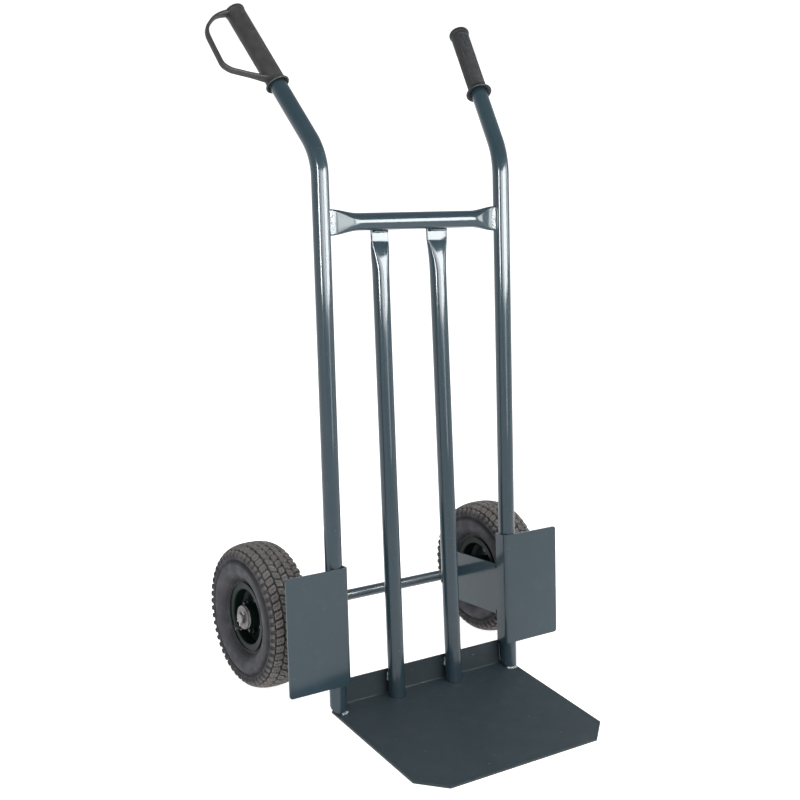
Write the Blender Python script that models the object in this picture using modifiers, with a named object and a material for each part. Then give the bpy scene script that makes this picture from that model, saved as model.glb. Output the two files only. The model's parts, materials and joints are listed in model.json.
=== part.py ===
"""Two-wheeled hand truck: tubular frame, folded toe plate, wheel guards, pneumatic wheels.

The origin is on the floor, midway between the side rails where their centre lines meet
the floor. +X is to the right of somebody facing the toe plate's back, -Y is the front,
where the toe plate points, and +Z is up. Lengths are metres.
"""

import math

import bmesh
import bpy
from mathutils import Matrix, Vector

GAP = 0.0003
MERGE = 0.00001

# Side rails and the tubes between them
TUBE_RADIUS = 0.015
TUBE_WALL = 0.002
RAIL_HALF_SPACING = 0.190
RAIL_LEAN = math.radians(9.5)
BEND_HEIGHT = 0.945
BEND_RADIUS = 0.105
HANDLE_TILT = math.radians(46.0)
HANDLE_SPLAY = math.radians(8.8)
HANDLE_LENGTH = 0.300
FOOT_MITRE = math.radians(22.0)
CROSSBAR_HEIGHT = 0.835
FLAT_THICKNESS = 0.005
CROSSBAR_FLARE = 0.056
MIDDLE_TUBE_BOTTOM_X = 0.0635
MIDDLE_TUBE_TOP_X = 0.0605
MIDDLE_TUBE_FLARE = 0.058
MIDDLE_TUBE_SETBACK = -0.0015
MIDDLE_TUBE_SHIFT = -0.0040
TAB_LENGTH = 0.041
TAB_EASE = 1.8
LEFT_TAB_NARROWING = 0.22
RIGHT_TAB_NARROWING = 0.0

# Toe plate and its upstand
PLATE_THICKNESS = 0.004
PLATE_HALF_WIDTH = 0.201
PLATE_FRONT = 0.285
PLATE_REAR = 0.005
CHAMFER_X = 0.045
CHAMFER_Y = 0.041
UPSTAND_HALF_WIDTH = 0.190
UPSTAND_HEIGHT = 0.047
FOLD_RADIUS = 0.006

# Wheels and axle
WHEEL_RADIUS = 0.130
TYRE_HALF_WIDTH = 0.0425
TRACK_HALF = 0.2575
AXLE_Y = 0.171
AXLE_RADIUS = 0.010
AXLE_HALF_LENGTH = 0.3005
BORE_CLEARANCE = 0.0004
HUB_RADIUS = 0.0215
HUB_BORE = 0.0185
HUB_HALF_LENGTH = 0.033
RIM_SHEET = 0.002
RIM_SPLIT = 0.003
RIM_BARREL = 0.050
RIM_FLANGE = 0.0625
RIM_HALF_WIDTH = 0.0275
BOLT_CIRCLE = 0.034
BOLT_COUNT = 4
BOLT_TURN = math.radians(75.0)
VALVE_PLACE = 0.0125
VALVE_REACH = 0.014
VALVE_RADIUS = 0.0425
VALVE_ANGLE = math.radians(142.0)

# Wheel guards, which also carry the axle
GUARD_THICKNESS = 0.003
GUARD_FOLD = 0.0065
GUARD_OUTER_X = 0.2945
GUARD_BOTTOM = 0.053
GUARD_TOP = 0.261
GUARD_RETURN = 0.010
CHEEK_BOTTOM = 0.105
CHEEK_TOP = 0.201
CHEEK_OVERHANG = 0.023

# Hand grips
GRIP_RADIUS = 0.0170
GRIP_START = 0.150
LEFT_COLLAR_RADIUS = 0.0213
RIGHT_COLLAR_RADIUS = 0.0240
RIGHT_BEAD = 0.0022
LEFT_BEAD = 0.0012
LEFT_GRIP_END = 0.322
RIGHT_GRIP_END = 0.306
STRAP_REACH = 0.083
STRAP_THICKNESS = 0.0065
STRAP_WIDTH = 0.012

PAINT = ((0.055, 0.080, 0.098), 0.30, 0.0)
PLATE_PAINT = ((0.030, 0.044, 0.053), 0.50, 0.0)
RIM_PAINT = ((0.020, 0.027, 0.025), 0.25, 0.0)
RUBBER = ((0.035, 0.034, 0.036), 0.80, 0.0)
BUTYL = ((0.015, 0.015, 0.015), 0.70, 0.0)
GRIP_RUBBER = ((0.050, 0.050, 0.050), 0.60, 0.0)
ZINC = ((0.62, 0.62, 0.60), 0.35, 1.0)
NYLON = ((0.60, 0.58, 0.52), 0.50, 0.0)


def clear_scene():
    for old in list(bpy.data.objects):
        bpy.data.objects.remove(old, do_unlink=True)


def collection(name):
    made = bpy.data.collections.new(name)
    bpy.context.scene.collection.children.link(made)
    return made


def material(name, look):
    colour, roughness, metallic = look
    made = bpy.data.materials.new(name)
    made.use_nodes = True
    shader = made.node_tree.nodes["Principled BSDF"]
    shader.inputs["Base Color"].default_value = (*colour, 1.0)
    shader.inputs["Roughness"].default_value = roughness
    shader.inputs["Metallic"].default_value = metallic
    made.diffuse_color = (*colour, 1.0)
    return made


clear_scene()
PARTS = collection("hand_truck")
CUTTERS = collection("cutters")


def empty(name, location, rotation=(0.0, 0.0, 0.0)):
    made = bpy.data.objects.new(name, None)
    made.location = location
    made.rotation_euler = rotation
    PARTS.objects.link(made)
    return made


def add_part(name, mesh, look, parent=None):
    """Link one named sub-part with a material of its own."""
    part = bpy.data.objects.new(name, mesh)
    PARTS.objects.link(part)
    part.parent = parent
    if not mesh.materials:
        mesh.materials.append(material(name + "_finish", look))
    return part


def shade(mesh):
    mesh.shade_smooth()
    mesh.set_sharp_from_angle(angle=math.radians(35))


def mesh_from(form, name):
    """Turn a bmesh into a mesh whose faces point outwards."""
    bmesh.ops.recalc_face_normals(form, faces=form.faces)
    mesh = bpy.data.meshes.new(name)
    form.to_mesh(mesh)
    form.free()
    shade(mesh)
    return mesh


def evaluated_mesh(source, name):
    """Freeze an object's modifiers or curve into a welded mesh in world space."""
    bpy.context.view_layer.update()
    graph = bpy.context.evaluated_depsgraph_get()
    mesh = bpy.data.meshes.new_from_object(source.evaluated_get(graph))
    mesh.transform(source.matrix_world)
    mesh.name = name
    form = bmesh.new()
    form.from_mesh(mesh)
    bmesh.ops.remove_doubles(form, verts=form.verts, dist=MERGE)
    form.to_mesh(mesh)
    form.free()
    bpy.data.objects.remove(source, do_unlink=True)
    shade(mesh)
    return mesh


def curve_object(name, dimensions):
    curve = bpy.data.curves.new(name, "CURVE")
    curve.dimensions = dimensions
    made = bpy.data.objects.new(name, curve)
    CUTTERS.objects.link(made)
    return made


def tube_mesh(name, path, radius, resolution):
    """A round bar along a path of points."""
    made = curve_object(name, "3D")
    made.data.bevel_depth = radius
    made.data.bevel_resolution = resolution
    made.data.use_fill_caps = True
    spline = made.data.splines.new("POLY")
    spline.points.add(len(path) - 1)
    for point, place in zip(spline.points, path):
        point.co = (*place, 1.0)
    return evaluated_mesh(made, name)


def plate_mesh(name, outline, half_thickness, frame=None):
    """A flat outline given as (u, v) pairs, thickened about its own plane."""
    made = curve_object(name, "2D")
    made.data.fill_mode = "BOTH"
    made.data.extrude = half_thickness
    spline = made.data.splines.new("POLY")
    spline.points.add(len(outline) - 1)
    for point, place in zip(spline.points, outline):
        point.co = (place[0], place[1], 0.0, 1.0)
    spline.use_cyclic_u = True
    if frame:
        made.matrix_world = frame
    return evaluated_mesh(made, name)


def turned_mesh(name, profile, steps, closed=False):
    """Turn a profile of (radius, height) pairs, listed down its outer side, about Z."""
    mesh = bpy.data.meshes.new(name)
    points = [(radius, 0.0, height) for radius, height in profile]
    edges = [(i, i + 1) for i in range(len(points) - 1)]
    if closed:
        edges.append((len(points) - 1, 0))
    mesh.from_pydata(points, edges, [])
    made = bpy.data.objects.new(name, mesh)
    CUTTERS.objects.link(made)
    screw = made.modifiers.new("turn", "SCREW")
    screw.steps = steps
    screw.render_steps = steps
    screw.use_merge_vertices = True
    screw.merge_threshold = MERGE
    return evaluated_mesh(made, name)


def turned_sheet(name, profile, steps, thickness):
    """Turn an open centre line and give it sheet thickness."""
    mesh = bpy.data.meshes.new(name)
    points = [(radius, 0.0, height) for radius, height in profile]
    mesh.from_pydata(points, [(i, i + 1) for i in range(len(points) - 1)], [])
    made = bpy.data.objects.new(name, mesh)
    CUTTERS.objects.link(made)
    screw = made.modifiers.new("turn", "SCREW")
    screw.steps = steps
    screw.render_steps = steps
    screw.use_merge_vertices = True
    screw.merge_threshold = MERGE
    shell = made.modifiers.new("sheet", "SOLIDIFY")
    shell.thickness = thickness
    shell.offset = 0.0
    shell.use_even_offset = True
    return evaluated_mesh(made, name)


def box_mesh(name, low, high):
    form = bmesh.new()
    bmesh.ops.create_cube(form, size=1.0)
    size = Vector(high) - Vector(low)
    middle = (Vector(high) + Vector(low)) / 2
    bmesh.ops.scale(form, vec=size, verts=form.verts)
    bmesh.ops.translate(form, vec=middle, verts=form.verts)
    return mesh_from(form, name)


def rod_mesh(name, radius, length, segments, frame=None):
    form = bmesh.new()
    bmesh.ops.create_cone(form, cap_ends=True, segments=segments, radius1=radius,
                          radius2=radius, depth=length)
    if frame:
        bmesh.ops.transform(form, matrix=frame, verts=form.verts)
    return mesh_from(form, name)


def combine(mesh, others, operation):
    """Cut the other meshes from a mesh, or join them to it, one after another."""
    base = bpy.data.objects.new(mesh.name, mesh)
    CUTTERS.objects.link(base)
    tools = []
    for index, other in enumerate(others):
        tool = bpy.data.objects.new(mesh.name + "_tool", other)
        tool.hide_render = True
        tool.display_type = "WIRE"
        CUTTERS.objects.link(tool)
        tools.append(tool)
        step = base.modifiers.new("step_%d" % index, "BOOLEAN")
        step.operation = operation
        step.solver = "EXACT"
        step.object = tool
    result = evaluated_mesh(base, mesh.name)
    for tool in tools:
        bpy.data.objects.remove(tool, do_unlink=True)
    result.materials.clear()
    return result


def cut(mesh, *others):
    return combine(mesh, others, "DIFFERENCE")


def join(mesh, *others):
    return combine(mesh, others, "UNION")


def arc(centre, radius, start, end, steps):
    """Points along an arc in a plane, angles in radians."""
    points = []
    for index in range(steps + 1):
        angle = start + (end - start) * index / steps
        points.append((centre[0] + radius * math.cos(angle),
                       centre[1] + radius * math.sin(angle)))
    return points


def rounded_path(points, radius, steps):
    """A path of straight runs whose corners are arcs of one radius."""
    path = [Vector(points[0])]
    for before, corner, after in zip(points, points[1:], points[2:]):
        corner = Vector(corner)
        back = (Vector(before) - corner).normalized()
        ahead = (Vector(after) - corner).normalized()
        half = back.angle(ahead) / 2
        middle = corner + (back + ahead).normalized() * radius / math.sin(half)
        start = corner + back * radius / math.tan(half) - middle
        end = corner + ahead * radius / math.tan(half) - middle
        sweep = start.angle(end)
        for index in range(steps + 1):
            angle = sweep * index / steps
            arm = (start * math.sin(sweep - angle) + end * math.sin(angle)) / math.sin(sweep)
            path.append(middle + arm)
    path.append(Vector(points[-1]))
    return path


def smoothstep(value):
    value = min(max(value, 0.0), 1.0)
    return value * value * (3.0 - 2.0 * value)


def pressed_ring(centre, wide, thin, flatness, inset, sides, narrowing):
    """One section of a tube pressed from round towards flat; narrowing trims its width."""
    girth_radius = TUBE_RADIUS - inset
    flat_radius = FLAT_THICKNESS / 2 - min(inset, TUBE_WALL * 0.9)
    end_radius = girth_radius + (flat_radius - girth_radius) * flatness
    straight = math.pi * (girth_radius - end_radius) / 2 * (1.0 - narrowing * flatness)
    ring = []
    for index in range(sides):
        angle = 2 * math.pi * (index + 0.5) / sides
        shift = math.copysign(straight, math.cos(angle))
        ring.append(centre + wide * (shift + end_radius * math.cos(angle))
                    + thin * end_radius * math.sin(angle))
    return ring


def pressed_tube(name, start, end, wide, thin, flatness_at, stations, sides, narrowing=0.0):
    """Loft an open-ended tube whose ends are pressed flat; flatness_at(distance)."""
    start, end, wide, thin = Vector(start), Vector(end), Vector(wide), Vector(thin)
    form = bmesh.new()
    skins = []
    for inset in (0.0, TUBE_WALL):
        rings = []
        for distance in stations:
            centre = start.lerp(end, distance)
            flatness = flatness_at((end - start).length * distance)
            ring = pressed_ring(centre, wide, thin, flatness, inset, sides, narrowing)
            rings.append([form.verts.new(place) for place in ring])
        for lower, upper in zip(rings, rings[1:]):
            for index in range(sides):
                after = (index + 1) % sides
                form.faces.new((lower[index], lower[after], upper[after], upper[index]))
        skins.append(rings)
    for end_index in (0, -1):
        outer, inner = skins[0][end_index], skins[1][end_index]
        for index in range(sides):
            after = (index + 1) % sides
            form.faces.new((outer[index], outer[after], inner[after], inner[index]))
    return mesh_from(form, name)


# The frame tubes and guards are built upright in rail space, which then leans back.
LEAN = Matrix.Rotation(-RAIL_LEAN, 4, "X")
CROSSBAR_UP = CROSSBAR_HEIGHT / math.cos(RAIL_LEAN)
BEND_UP = BEND_HEIGHT / math.cos(RAIL_LEAN)
AXLE_PLACE = LEAN.inverted() @ Vector((0.0, AXLE_Y, WHEEL_RADIUS))
FLOOR_CLEAR = PLATE_THICKNESS + GAP
SEAT = TUBE_RADIUS + GAP


def handle_direction(side):
    """Unit vector along a handle, in world space."""
    return Vector((side * math.sin(HANDLE_SPLAY), math.sin(HANDLE_TILT),
                   math.cos(HANDLE_TILT))).normalized()


def bend_point(side):
    return LEAN @ Vector((side * RAIL_HALF_SPACING, 0.0, BEND_UP))


def foot_cutter():
    """Everything below the mitred end of a rail."""
    block = box_mesh("foot_cutter", (-0.05, -0.08, -0.12), (0.05, 0.12, 0.0))
    block.transform(Matrix.Rotation(FOOT_MITRE, 4, "X"))
    block.transform(Matrix.Translation((0.0, -TUBE_RADIUS, FLOOR_CLEAR)))
    return block


def rail(name, side):
    corner = bend_point(side)
    start = LEAN @ Vector((side * RAIL_HALF_SPACING, 0.0, -0.02))
    finish = corner + handle_direction(side) * HANDLE_LENGTH
    run = rounded_path([start, corner, finish], BEND_RADIUS, 7)
    outer = tube_mesh(name, run, TUBE_RADIUS, 7)
    bore_run = list(run)
    bore_run[0] = run[0] - (run[1] - run[0]).normalized() * 0.01
    bore_run[-1] = run[-1] + (run[-1] - run[-2]).normalized() * 0.01
    bore = tube_mesh(name + "_bore", bore_run, TUBE_RADIUS - TUBE_WALL, 4)
    foot = foot_cutter()
    foot.transform(Matrix.Translation((side * RAIL_HALF_SPACING, 0.0, 0.0)))
    add_part(name, cut(outer, bore, foot), PAINT)


def crossbar():
    reach = RAIL_HALF_SPACING - TUBE_RADIUS - GAP
    length = 2 * reach
    steps = (0.0, 0.06, 0.12, 0.18, 0.24, 0.5)
    stations = [step * CROSSBAR_FLARE / (0.24 * length) for step in steps[:-1]] + [0.5]
    stations += [1.0 - step for step in reversed(stations[:-1])]

    def flatness(distance):
        nearest = min(distance, length - distance)
        return 1.0 - smoothstep(nearest / CROSSBAR_FLARE)

    mesh = pressed_tube("top_crossbar", (-reach, 0.0, CROSSBAR_UP), (reach, 0.0, CROSSBAR_UP),
                        (0.0, 0.0, 1.0), (0.0, 1.0, 0.0), flatness, stations, 16)
    mesh.transform(LEAN)
    add_part("top_crossbar", mesh, PAINT)


def middle_tube(name, side, narrowing):
    """A tube from the toe plate to the back of the crossbar, pressed flat at its top."""
    lap = TUBE_RADIUS + GAP + FLAT_THICKNESS / 2
    top_up = CROSSBAR_UP + 0.008
    foot_up = (LEAN.inverted() @ Vector((0.0, 0.0, FLOOR_CLEAR + 0.0003))).z
    bottom_x = side * MIDDLE_TUBE_BOTTOM_X + MIDDLE_TUBE_SHIFT
    top_x = side * MIDDLE_TUBE_TOP_X + MIDDLE_TUBE_SHIFT
    start = Vector((bottom_x, MIDDLE_TUBE_SETBACK, foot_up - 0.02))
    end = Vector((top_x, lap + 0.0004, top_up))
    length = (end - start).length
    flat_from = length - TAB_LENGTH
    round_until = flat_from - MIDDLE_TUBE_FLARE

    def flatness(distance):
        share = min(max((distance - round_until) / MIDDLE_TUBE_FLARE, 0.0), 1.0)
        return share ** TAB_EASE

    stations = [0.0, round_until / length * 0.5]
    stations += [(round_until + MIDDLE_TUBE_FLARE * step / 5) / length for step in range(6)]
    stations.append(1.0)
    mesh = pressed_tube(name, start, end, (1.0, 0.0, 0.0), (0.0, 1.0, 0.0),
                        flatness, stations, 16, narrowing)
    mesh.transform(LEAN)
    floor = box_mesh("floor_cutter", (-0.1, -0.1, -0.1), (0.1, 0.1, FLOOR_CLEAR))
    floor.transform(Matrix.Translation((bottom_x, 0.0, 0.0)))
    add_part(name, cut(mesh, floor), PAINT)


def toe_plate():
    """A plate folded up at its back, with both front corners cut off."""
    face = SEAT / math.cos(RAIL_LEAN)
    inner = FOLD_RADIUS - PLATE_THICKNESS
    turn = math.pi / 2 - RAIL_LEAN
    up = Vector((math.sin(RAIL_LEAN), math.cos(RAIL_LEAN)))
    back = Vector((math.cos(RAIL_LEAN), -math.sin(RAIL_LEAN)))
    reach = inner * math.tan(turn / 2)
    corner = Vector((face + PLATE_THICKNESS * math.tan(RAIL_LEAN), PLATE_THICKNESS))
    centre = corner + Vector((-reach, inner))
    top = corner + up * (UPSTAND_HEIGHT - PLATE_THICKNESS) / math.cos(RAIL_LEAN)
    outline = [(-PLATE_FRONT, 0.0)]
    outline += arc(centre, FOLD_RADIUS, -math.pi / 2, -math.pi / 2 + turn, 5)
    outline.append(tuple(top + back * PLATE_THICKNESS))
    outline.append(tuple(top))
    outline += arc(centre, inner, -math.pi / 2 + turn, -math.pi / 2, 4)
    outline.append((-PLATE_FRONT, PLATE_THICKNESS))
    # the outline's (u, v) plane stands across the truck: u runs to the back, v up
    frame = Matrix(((0, 0, 1, 0), (1, 0, 0, 0), (0, 1, 0, 0), (0, 0, 0, 1)))
    mesh = plate_mesh("toe_plate", outline, PLATE_HALF_WIDTH, frame)
    tools = []
    for side in (-1, 1):
        near, far = sorted((side * UPSTAND_HALF_WIDTH, side * 0.25))
        tools.append(box_mesh("side_cutter", (near, PLATE_REAR, -0.02), (far, 0.08, 0.12)))
        triangle = [(side * (PLATE_HALF_WIDTH - CHAMFER_X), -PLATE_FRONT),
                    (side * PLATE_HALF_WIDTH, -PLATE_FRONT + CHAMFER_Y)]
        run = Vector((triangle[1][0] - triangle[0][0], triangle[1][1] - triangle[0][1]))
        out = Vector((run.y, -run.x)) * side
        first = Vector(triangle[0]) - run
        last = Vector(triangle[1]) + run
        wedge = [tuple(first), tuple(last), tuple(last + out), tuple(first + out)]
        tools.append(plate_mesh("corner_cutter", wedge, 0.02))
    add_part("toe_plate", cut(mesh, *tools), PLATE_PAINT)


def guard(name, side):
    """Guard plate folded round the rail, with the cheek that holds the axle."""
    fold = GUARD_THICKNESS
    front = -SEAT - fold
    inner_x = RAIL_HALF_SPACING - SEAT - fold
    cheek_end = AXLE_PLACE.y + CHEEK_OVERHANG
    # L-shaped section seen along the rail: x outwards from the truck's middle, y back
    fold_centre = (inner_x + GUARD_FOLD, front + GUARD_FOLD)
    section = [(inner_x, cheek_end)]
    section += arc(fold_centre, GUARD_FOLD, math.pi, 1.5 * math.pi, 5)
    section += [(GUARD_OUTER_X, front), (GUARD_OUTER_X, front + fold)]
    section += arc(fold_centre, GUARD_FOLD - fold, 1.5 * math.pi, math.pi, 4)
    section.append((inner_x + fold, cheek_end))
    section = [(side * x, y) for x, y in section]
    half_height = (GUARD_TOP - GUARD_BOTTOM) / 2
    middle = Matrix.Translation((0.0, 0.0, GUARD_BOTTOM + half_height))
    mesh = plate_mesh(name, section, half_height, middle)

    low_x, high_x = sorted((side * (inner_x - 0.01), side * (inner_x + fold + 0.01)))
    tools = [
        box_mesh("over_cheek", (low_x, GUARD_RETURN, CHEEK_TOP), (high_x, 0.3, 0.4)),
        box_mesh("under_cheek", (low_x, GUARD_RETURN, -0.1), (high_x, 0.3, CHEEK_BOTTOM)),
        box_mesh("top_relief", (low_x, GUARD_RETURN - 0.0001, CHEEK_TOP - 0.008),
                 (high_x, GUARD_RETURN + 0.0025, CHEEK_TOP + 0.001)),
        box_mesh("bottom_relief", (low_x, GUARD_RETURN - 0.0001, CHEEK_BOTTOM - 0.001),
                 (high_x, GUARD_RETURN + 0.0025, CHEEK_BOTTOM + 0.008)),
    ]
    across = Matrix.Rotation(math.pi / 2, 4, "Y")
    hole = rod_mesh("axle_hole", AXLE_RADIUS + BORE_CLEARANCE, 0.05, 32, across)
    hole.transform(Matrix.Translation((side * inner_x, AXLE_PLACE.y, AXLE_PLACE.z)))
    tools.append(hole)
    mesh = cut(mesh, *tools)

    form = bmesh.new()
    form.from_mesh(mesh)
    plate_corners = []
    cheek_corners = []
    for edge in form.edges:
        first, second = (vert.co for vert in edge.verts)
        along = second - first
        outer = min(abs(first.x), abs(second.x)) > GUARD_OUTER_X - 0.0001
        if outer and abs(along.y) > fold * 0.9 and abs(along.z) < 0.0001:
            plate_corners.append(edge)
        rear = min(first.y, second.y) > cheek_end - 0.0001
        if rear and abs(along.x) > fold * 0.9 and abs(along.z) < 0.0001:
            cheek_corners.append(edge)
    bmesh.ops.bevel(form, geom=plate_corners, offset=0.005, segments=3, profile=0.5,
                    affect="EDGES", clamp_overlap=True)
    bmesh.ops.bevel(form, geom=[edge for edge in cheek_corners if edge.is_valid],
                    offset=0.012, segments=3, profile=0.5, affect="EDGES", clamp_overlap=True)
    mesh = mesh_from(form, name)
    mesh.transform(LEAN)
    add_part(name, mesh, PAINT)


def grip_mesh(name, length, collar, bead):
    """A closed-ended sleeve on the handle's end, in handle space with Z along it."""
    bore = SEAT
    bore_end = HANDLE_LENGTH - GRIP_START + GAP
    profile = [(0.0, length), (GRIP_RADIUS * 0.75, length), (GRIP_RADIUS + bead, length - 0.004),
               (GRIP_RADIUS + bead, length - 0.009), (GRIP_RADIUS, length - 0.013),
               (GRIP_RADIUS, 0.010), (collar - 0.001, 0.0035),
               (collar, 0.001), (collar - 0.002, 0.0),
               (bore, 0.0015), (bore, bore_end), (0.0, bore_end)]
    return turned_mesh(name, profile, 24)


def handle_frame(side):
    """Handle space: Z along the handle from the grip's collar, X towards the outside."""
    along = handle_direction(side)
    out = Vector((side, 0.0, 0.0))
    out = (out - along * out.dot(along)).normalized()
    third = along.cross(out)
    origin = bend_point(side) + along * GRIP_START
    frame = Matrix((out, third, along)).transposed().to_4x4()
    frame.translation = origin
    return frame


def strap_outline(length):
    """The D-shaped strap, as a band between an outer and an inner line in (x, z)."""
    half = STRAP_THICKNESS / 2
    corners = [Vector((0.006, 0.0, 0.012)), Vector((STRAP_REACH - 0.010, 0.0, 0.040)),
               Vector((STRAP_REACH, 0.0, 0.052)), Vector((STRAP_REACH - 0.005, 0.0, 0.130)),
               Vector((STRAP_REACH - 0.040, 0.0, length - 0.012)),
               Vector((0.006, 0.0, length - 0.006))]
    path = [corners[0]]
    for before, corner, after in zip(corners, corners[1:], corners[2:]):
        back = (before - corner).normalized()
        ahead = (after - corner).normalized()
        reach = min((before - corner).length, (after - corner).length) * 0.45
        for step in range(5):
            share = step / 4
            first = corner + back * reach * (1 - share)
            second = corner + ahead * reach * share
            path.append(first.lerp(second, share))
    path.append(corners[-1])
    outer, inner = [], []
    for index, place in enumerate(path):
        before = path[max(index - 1, 0)]
        after = path[min(index + 1, len(path) - 1)]
        along = (after - before).normalized()
        across = Vector((along.z, 0.0, -along.x))
        swell = 0.0030 * smoothstep(1.0 - (place.x - 0.010) / 0.040) if place.z > length / 2 else 0.0
        outer.append(place + across * half)
        inner.append(place - across * (half + swell))
    band = outer + inner[::-1]
    return [(point.x, point.z) for point in band]


def left_grip():
    length = LEFT_GRIP_END - GRIP_START
    sleeve = grip_mesh("left_grip", length, LEFT_COLLAR_RADIUS, LEFT_BEAD)
    upright = Matrix.Rotation(math.pi / 2, 4, "X")
    strap = plate_mesh("strap", strap_outline(length), STRAP_WIDTH / 2, upright)
    form = bmesh.new()
    form.from_mesh(strap)
    rims = [edge for edge in form.edges
            if edge.is_manifold and edge.calc_face_angle() > math.radians(60)
            and abs(edge.verts[0].co.y - edge.verts[1].co.y) < MERGE]
    bmesh.ops.bevel(form, geom=rims, offset=0.0016, segments=1, affect="EDGES")
    strap = mesh_from(form, "strap")
    # only the part of the strap outside the bore is wanted
    core = rod_mesh("strap_core", TUBE_RADIUS + 0.0012, 0.4, 24)
    strap = cut(strap, core)
    mesh = join(sleeve, strap)
    mesh.transform(handle_frame(-1))
    add_part("left_grip", mesh, GRIP_RUBBER)


def right_grip():
    length = RIGHT_GRIP_END - GRIP_START
    mesh = grip_mesh("right_grip", length, RIGHT_COLLAR_RADIUS, RIGHT_BEAD)
    mesh.transform(handle_frame(1))
    add_part("right_grip", mesh, GRIP_RUBBER)


ALONG_X = Matrix.Rotation(math.pi / 2, 4, "Y")


def axle_frame(place):
    return Matrix.Translation((place, AXLE_Y, WHEEL_RADIUS)) @ ALONG_X


def ring_mesh(name, outer, bore, length, steps):
    half = length / 2
    profile = [(bore, half), (outer, half), (outer, -half), (bore, -half)]
    return turned_mesh(name, profile, steps, closed=True)


PIN_PLACE = AXLE_HALF_LENGTH - 0.0037
PIN_TURN = math.radians(31.0)
WASHER_LENGTH = 0.0025


def axle():
    half = AXLE_HALF_LENGTH
    profile = [(0.0, half), (AXLE_RADIUS - 0.0015, half), (AXLE_RADIUS, half - 0.0015)]
    profile += [(radius, -height) for radius, height in reversed(profile)]
    mesh = turned_mesh("axle", profile, 24)
    holes = []
    for side in (-1, 1):
        hole = rod_mesh("pin_hole", 0.0022, 0.05, 8,
                        Matrix.Translation((0.0, 0.0, side * PIN_PLACE)) @ ALONG_X)
        hole.transform(Matrix.Rotation(PIN_TURN, 4, "Z"))
        holes.append(hole)
    mesh = cut(mesh, *holes)
    mesh.transform(axle_frame(0.0))
    add_part("axle", mesh, PAINT)


def axle_hardware(word, side):
    """Spacer, two washers and a split pin that keep one wheel in its place."""
    bore = AXLE_RADIUS + BORE_CLEARANCE
    hub_inside = TRACK_HALF - HUB_HALF_LENGTH - 0.0005
    hub_outside = TRACK_HALF + HUB_HALF_LENGTH + 0.0005
    inner_centre = hub_inside - WASHER_LENGTH / 2
    mesh = ring_mesh(word + "_inner_washer", 0.018, bore, WASHER_LENGTH, 24)
    mesh.transform(axle_frame(side * inner_centre))
    add_part(word + "_inner_washer", mesh, ZINC)

    cheek_face = RAIL_HALF_SPACING - TUBE_RADIUS
    spacer_end = hub_inside - WASHER_LENGTH - GAP
    length = spacer_end - cheek_face
    mesh = ring_mesh(word + "_axle_spacer", 0.0135, bore, length, 24)
    mesh.transform(axle_frame(side * (cheek_face + spacer_end) / 2))
    add_part(word + "_axle_spacer", mesh, PAINT)

    outer_centre = hub_outside + WASHER_LENGTH / 2
    mesh = ring_mesh(word + "_outer_washer", 0.0213, bore, WASHER_LENGTH, 24)
    mesh.transform(axle_frame(side * outer_centre))
    add_part(word + "_outer_washer", mesh, ZINC)

    eye = 0.0034
    legs = 0.0010
    route = [(legs + 0.005, 0.0, -0.0170), (legs, 0.0, -0.0120), (legs, 0.0, 0.0110)]
    route += [(x, 0.0, z) for x, z in arc((0.0, 0.0147), eye, -0.9, math.pi + 0.9, 8)]
    route += [(-legs, 0.0, 0.0110), (-legs, 0.0, -0.0120), (-legs - 0.005, 0.0, -0.0170)]
    mesh = tube_mesh(word + "_split_pin", route, 0.0008, 1)
    mesh.transform(Matrix.Rotation(math.pi / 2, 4, "Z"))
    mesh.transform(Matrix.Rotation(PIN_TURN, 4, "X"))
    mesh.transform(Matrix.Translation((side * PIN_PLACE, AXLE_Y, WHEEL_RADIUS)))
    add_part(word + "_split_pin", mesh, ZINC)


def swell(low, high, waist, reach, power, start, end, steps):
    """Points of a superellipse quarter or more about (waist radius, 0)."""
    points = []
    for index in range(steps + 1):
        angle = start + (end - start) * index / steps
        cosine, sine = math.cos(angle), math.sin(angle)
        across = math.copysign(abs(cosine) ** (2 / power), cosine) * reach
        rise = high - waist if sine >= 0 else waist - low
        points.append((waist + math.copysign(abs(sine) ** (2 / power), sine) * rise, across))
    return points


def tyre_mesh():
    """Casing open towards the rim, with a bead on each side."""
    bead = RIM_HALF_WIDTH - RIM_SHEET / 2 - GAP
    seat = RIM_BARREL + RIM_SHEET / 2 + 0.0006
    waist = 0.098
    outer = [(seat, bead - 0.0040), (seat + 0.0045, bead), (RIM_FLANGE + 0.0005, bead)]
    flank = swell(RIM_FLANGE + 0.0005, WHEEL_RADIUS, waist, TYRE_HALF_WIDTH, 2.6, -0.9, 1.3, 6)
    outer += [point for point in flank if point[1] > bead]
    outer.append((WHEEL_RADIUS, 0.0))
    inside = swell(seat + 0.009, WHEEL_RADIUS - 0.007, waist, TYRE_HALF_WIDTH - 0.005, 2.4,
                   -0.95, 1.2, 3)
    inner = [(seat, bead - 0.0075)] + inside + [(WHEEL_RADIUS - 0.007, 0.0)]
    lower_outer = [(radius, -height) for radius, height in outer[-2::-1]]
    lower_inner = [(radius, -height) for radius, height in inner]
    return turned_mesh("tyre", outer + lower_outer + lower_inner + inner[-2::-1], 32, closed=True)


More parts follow.
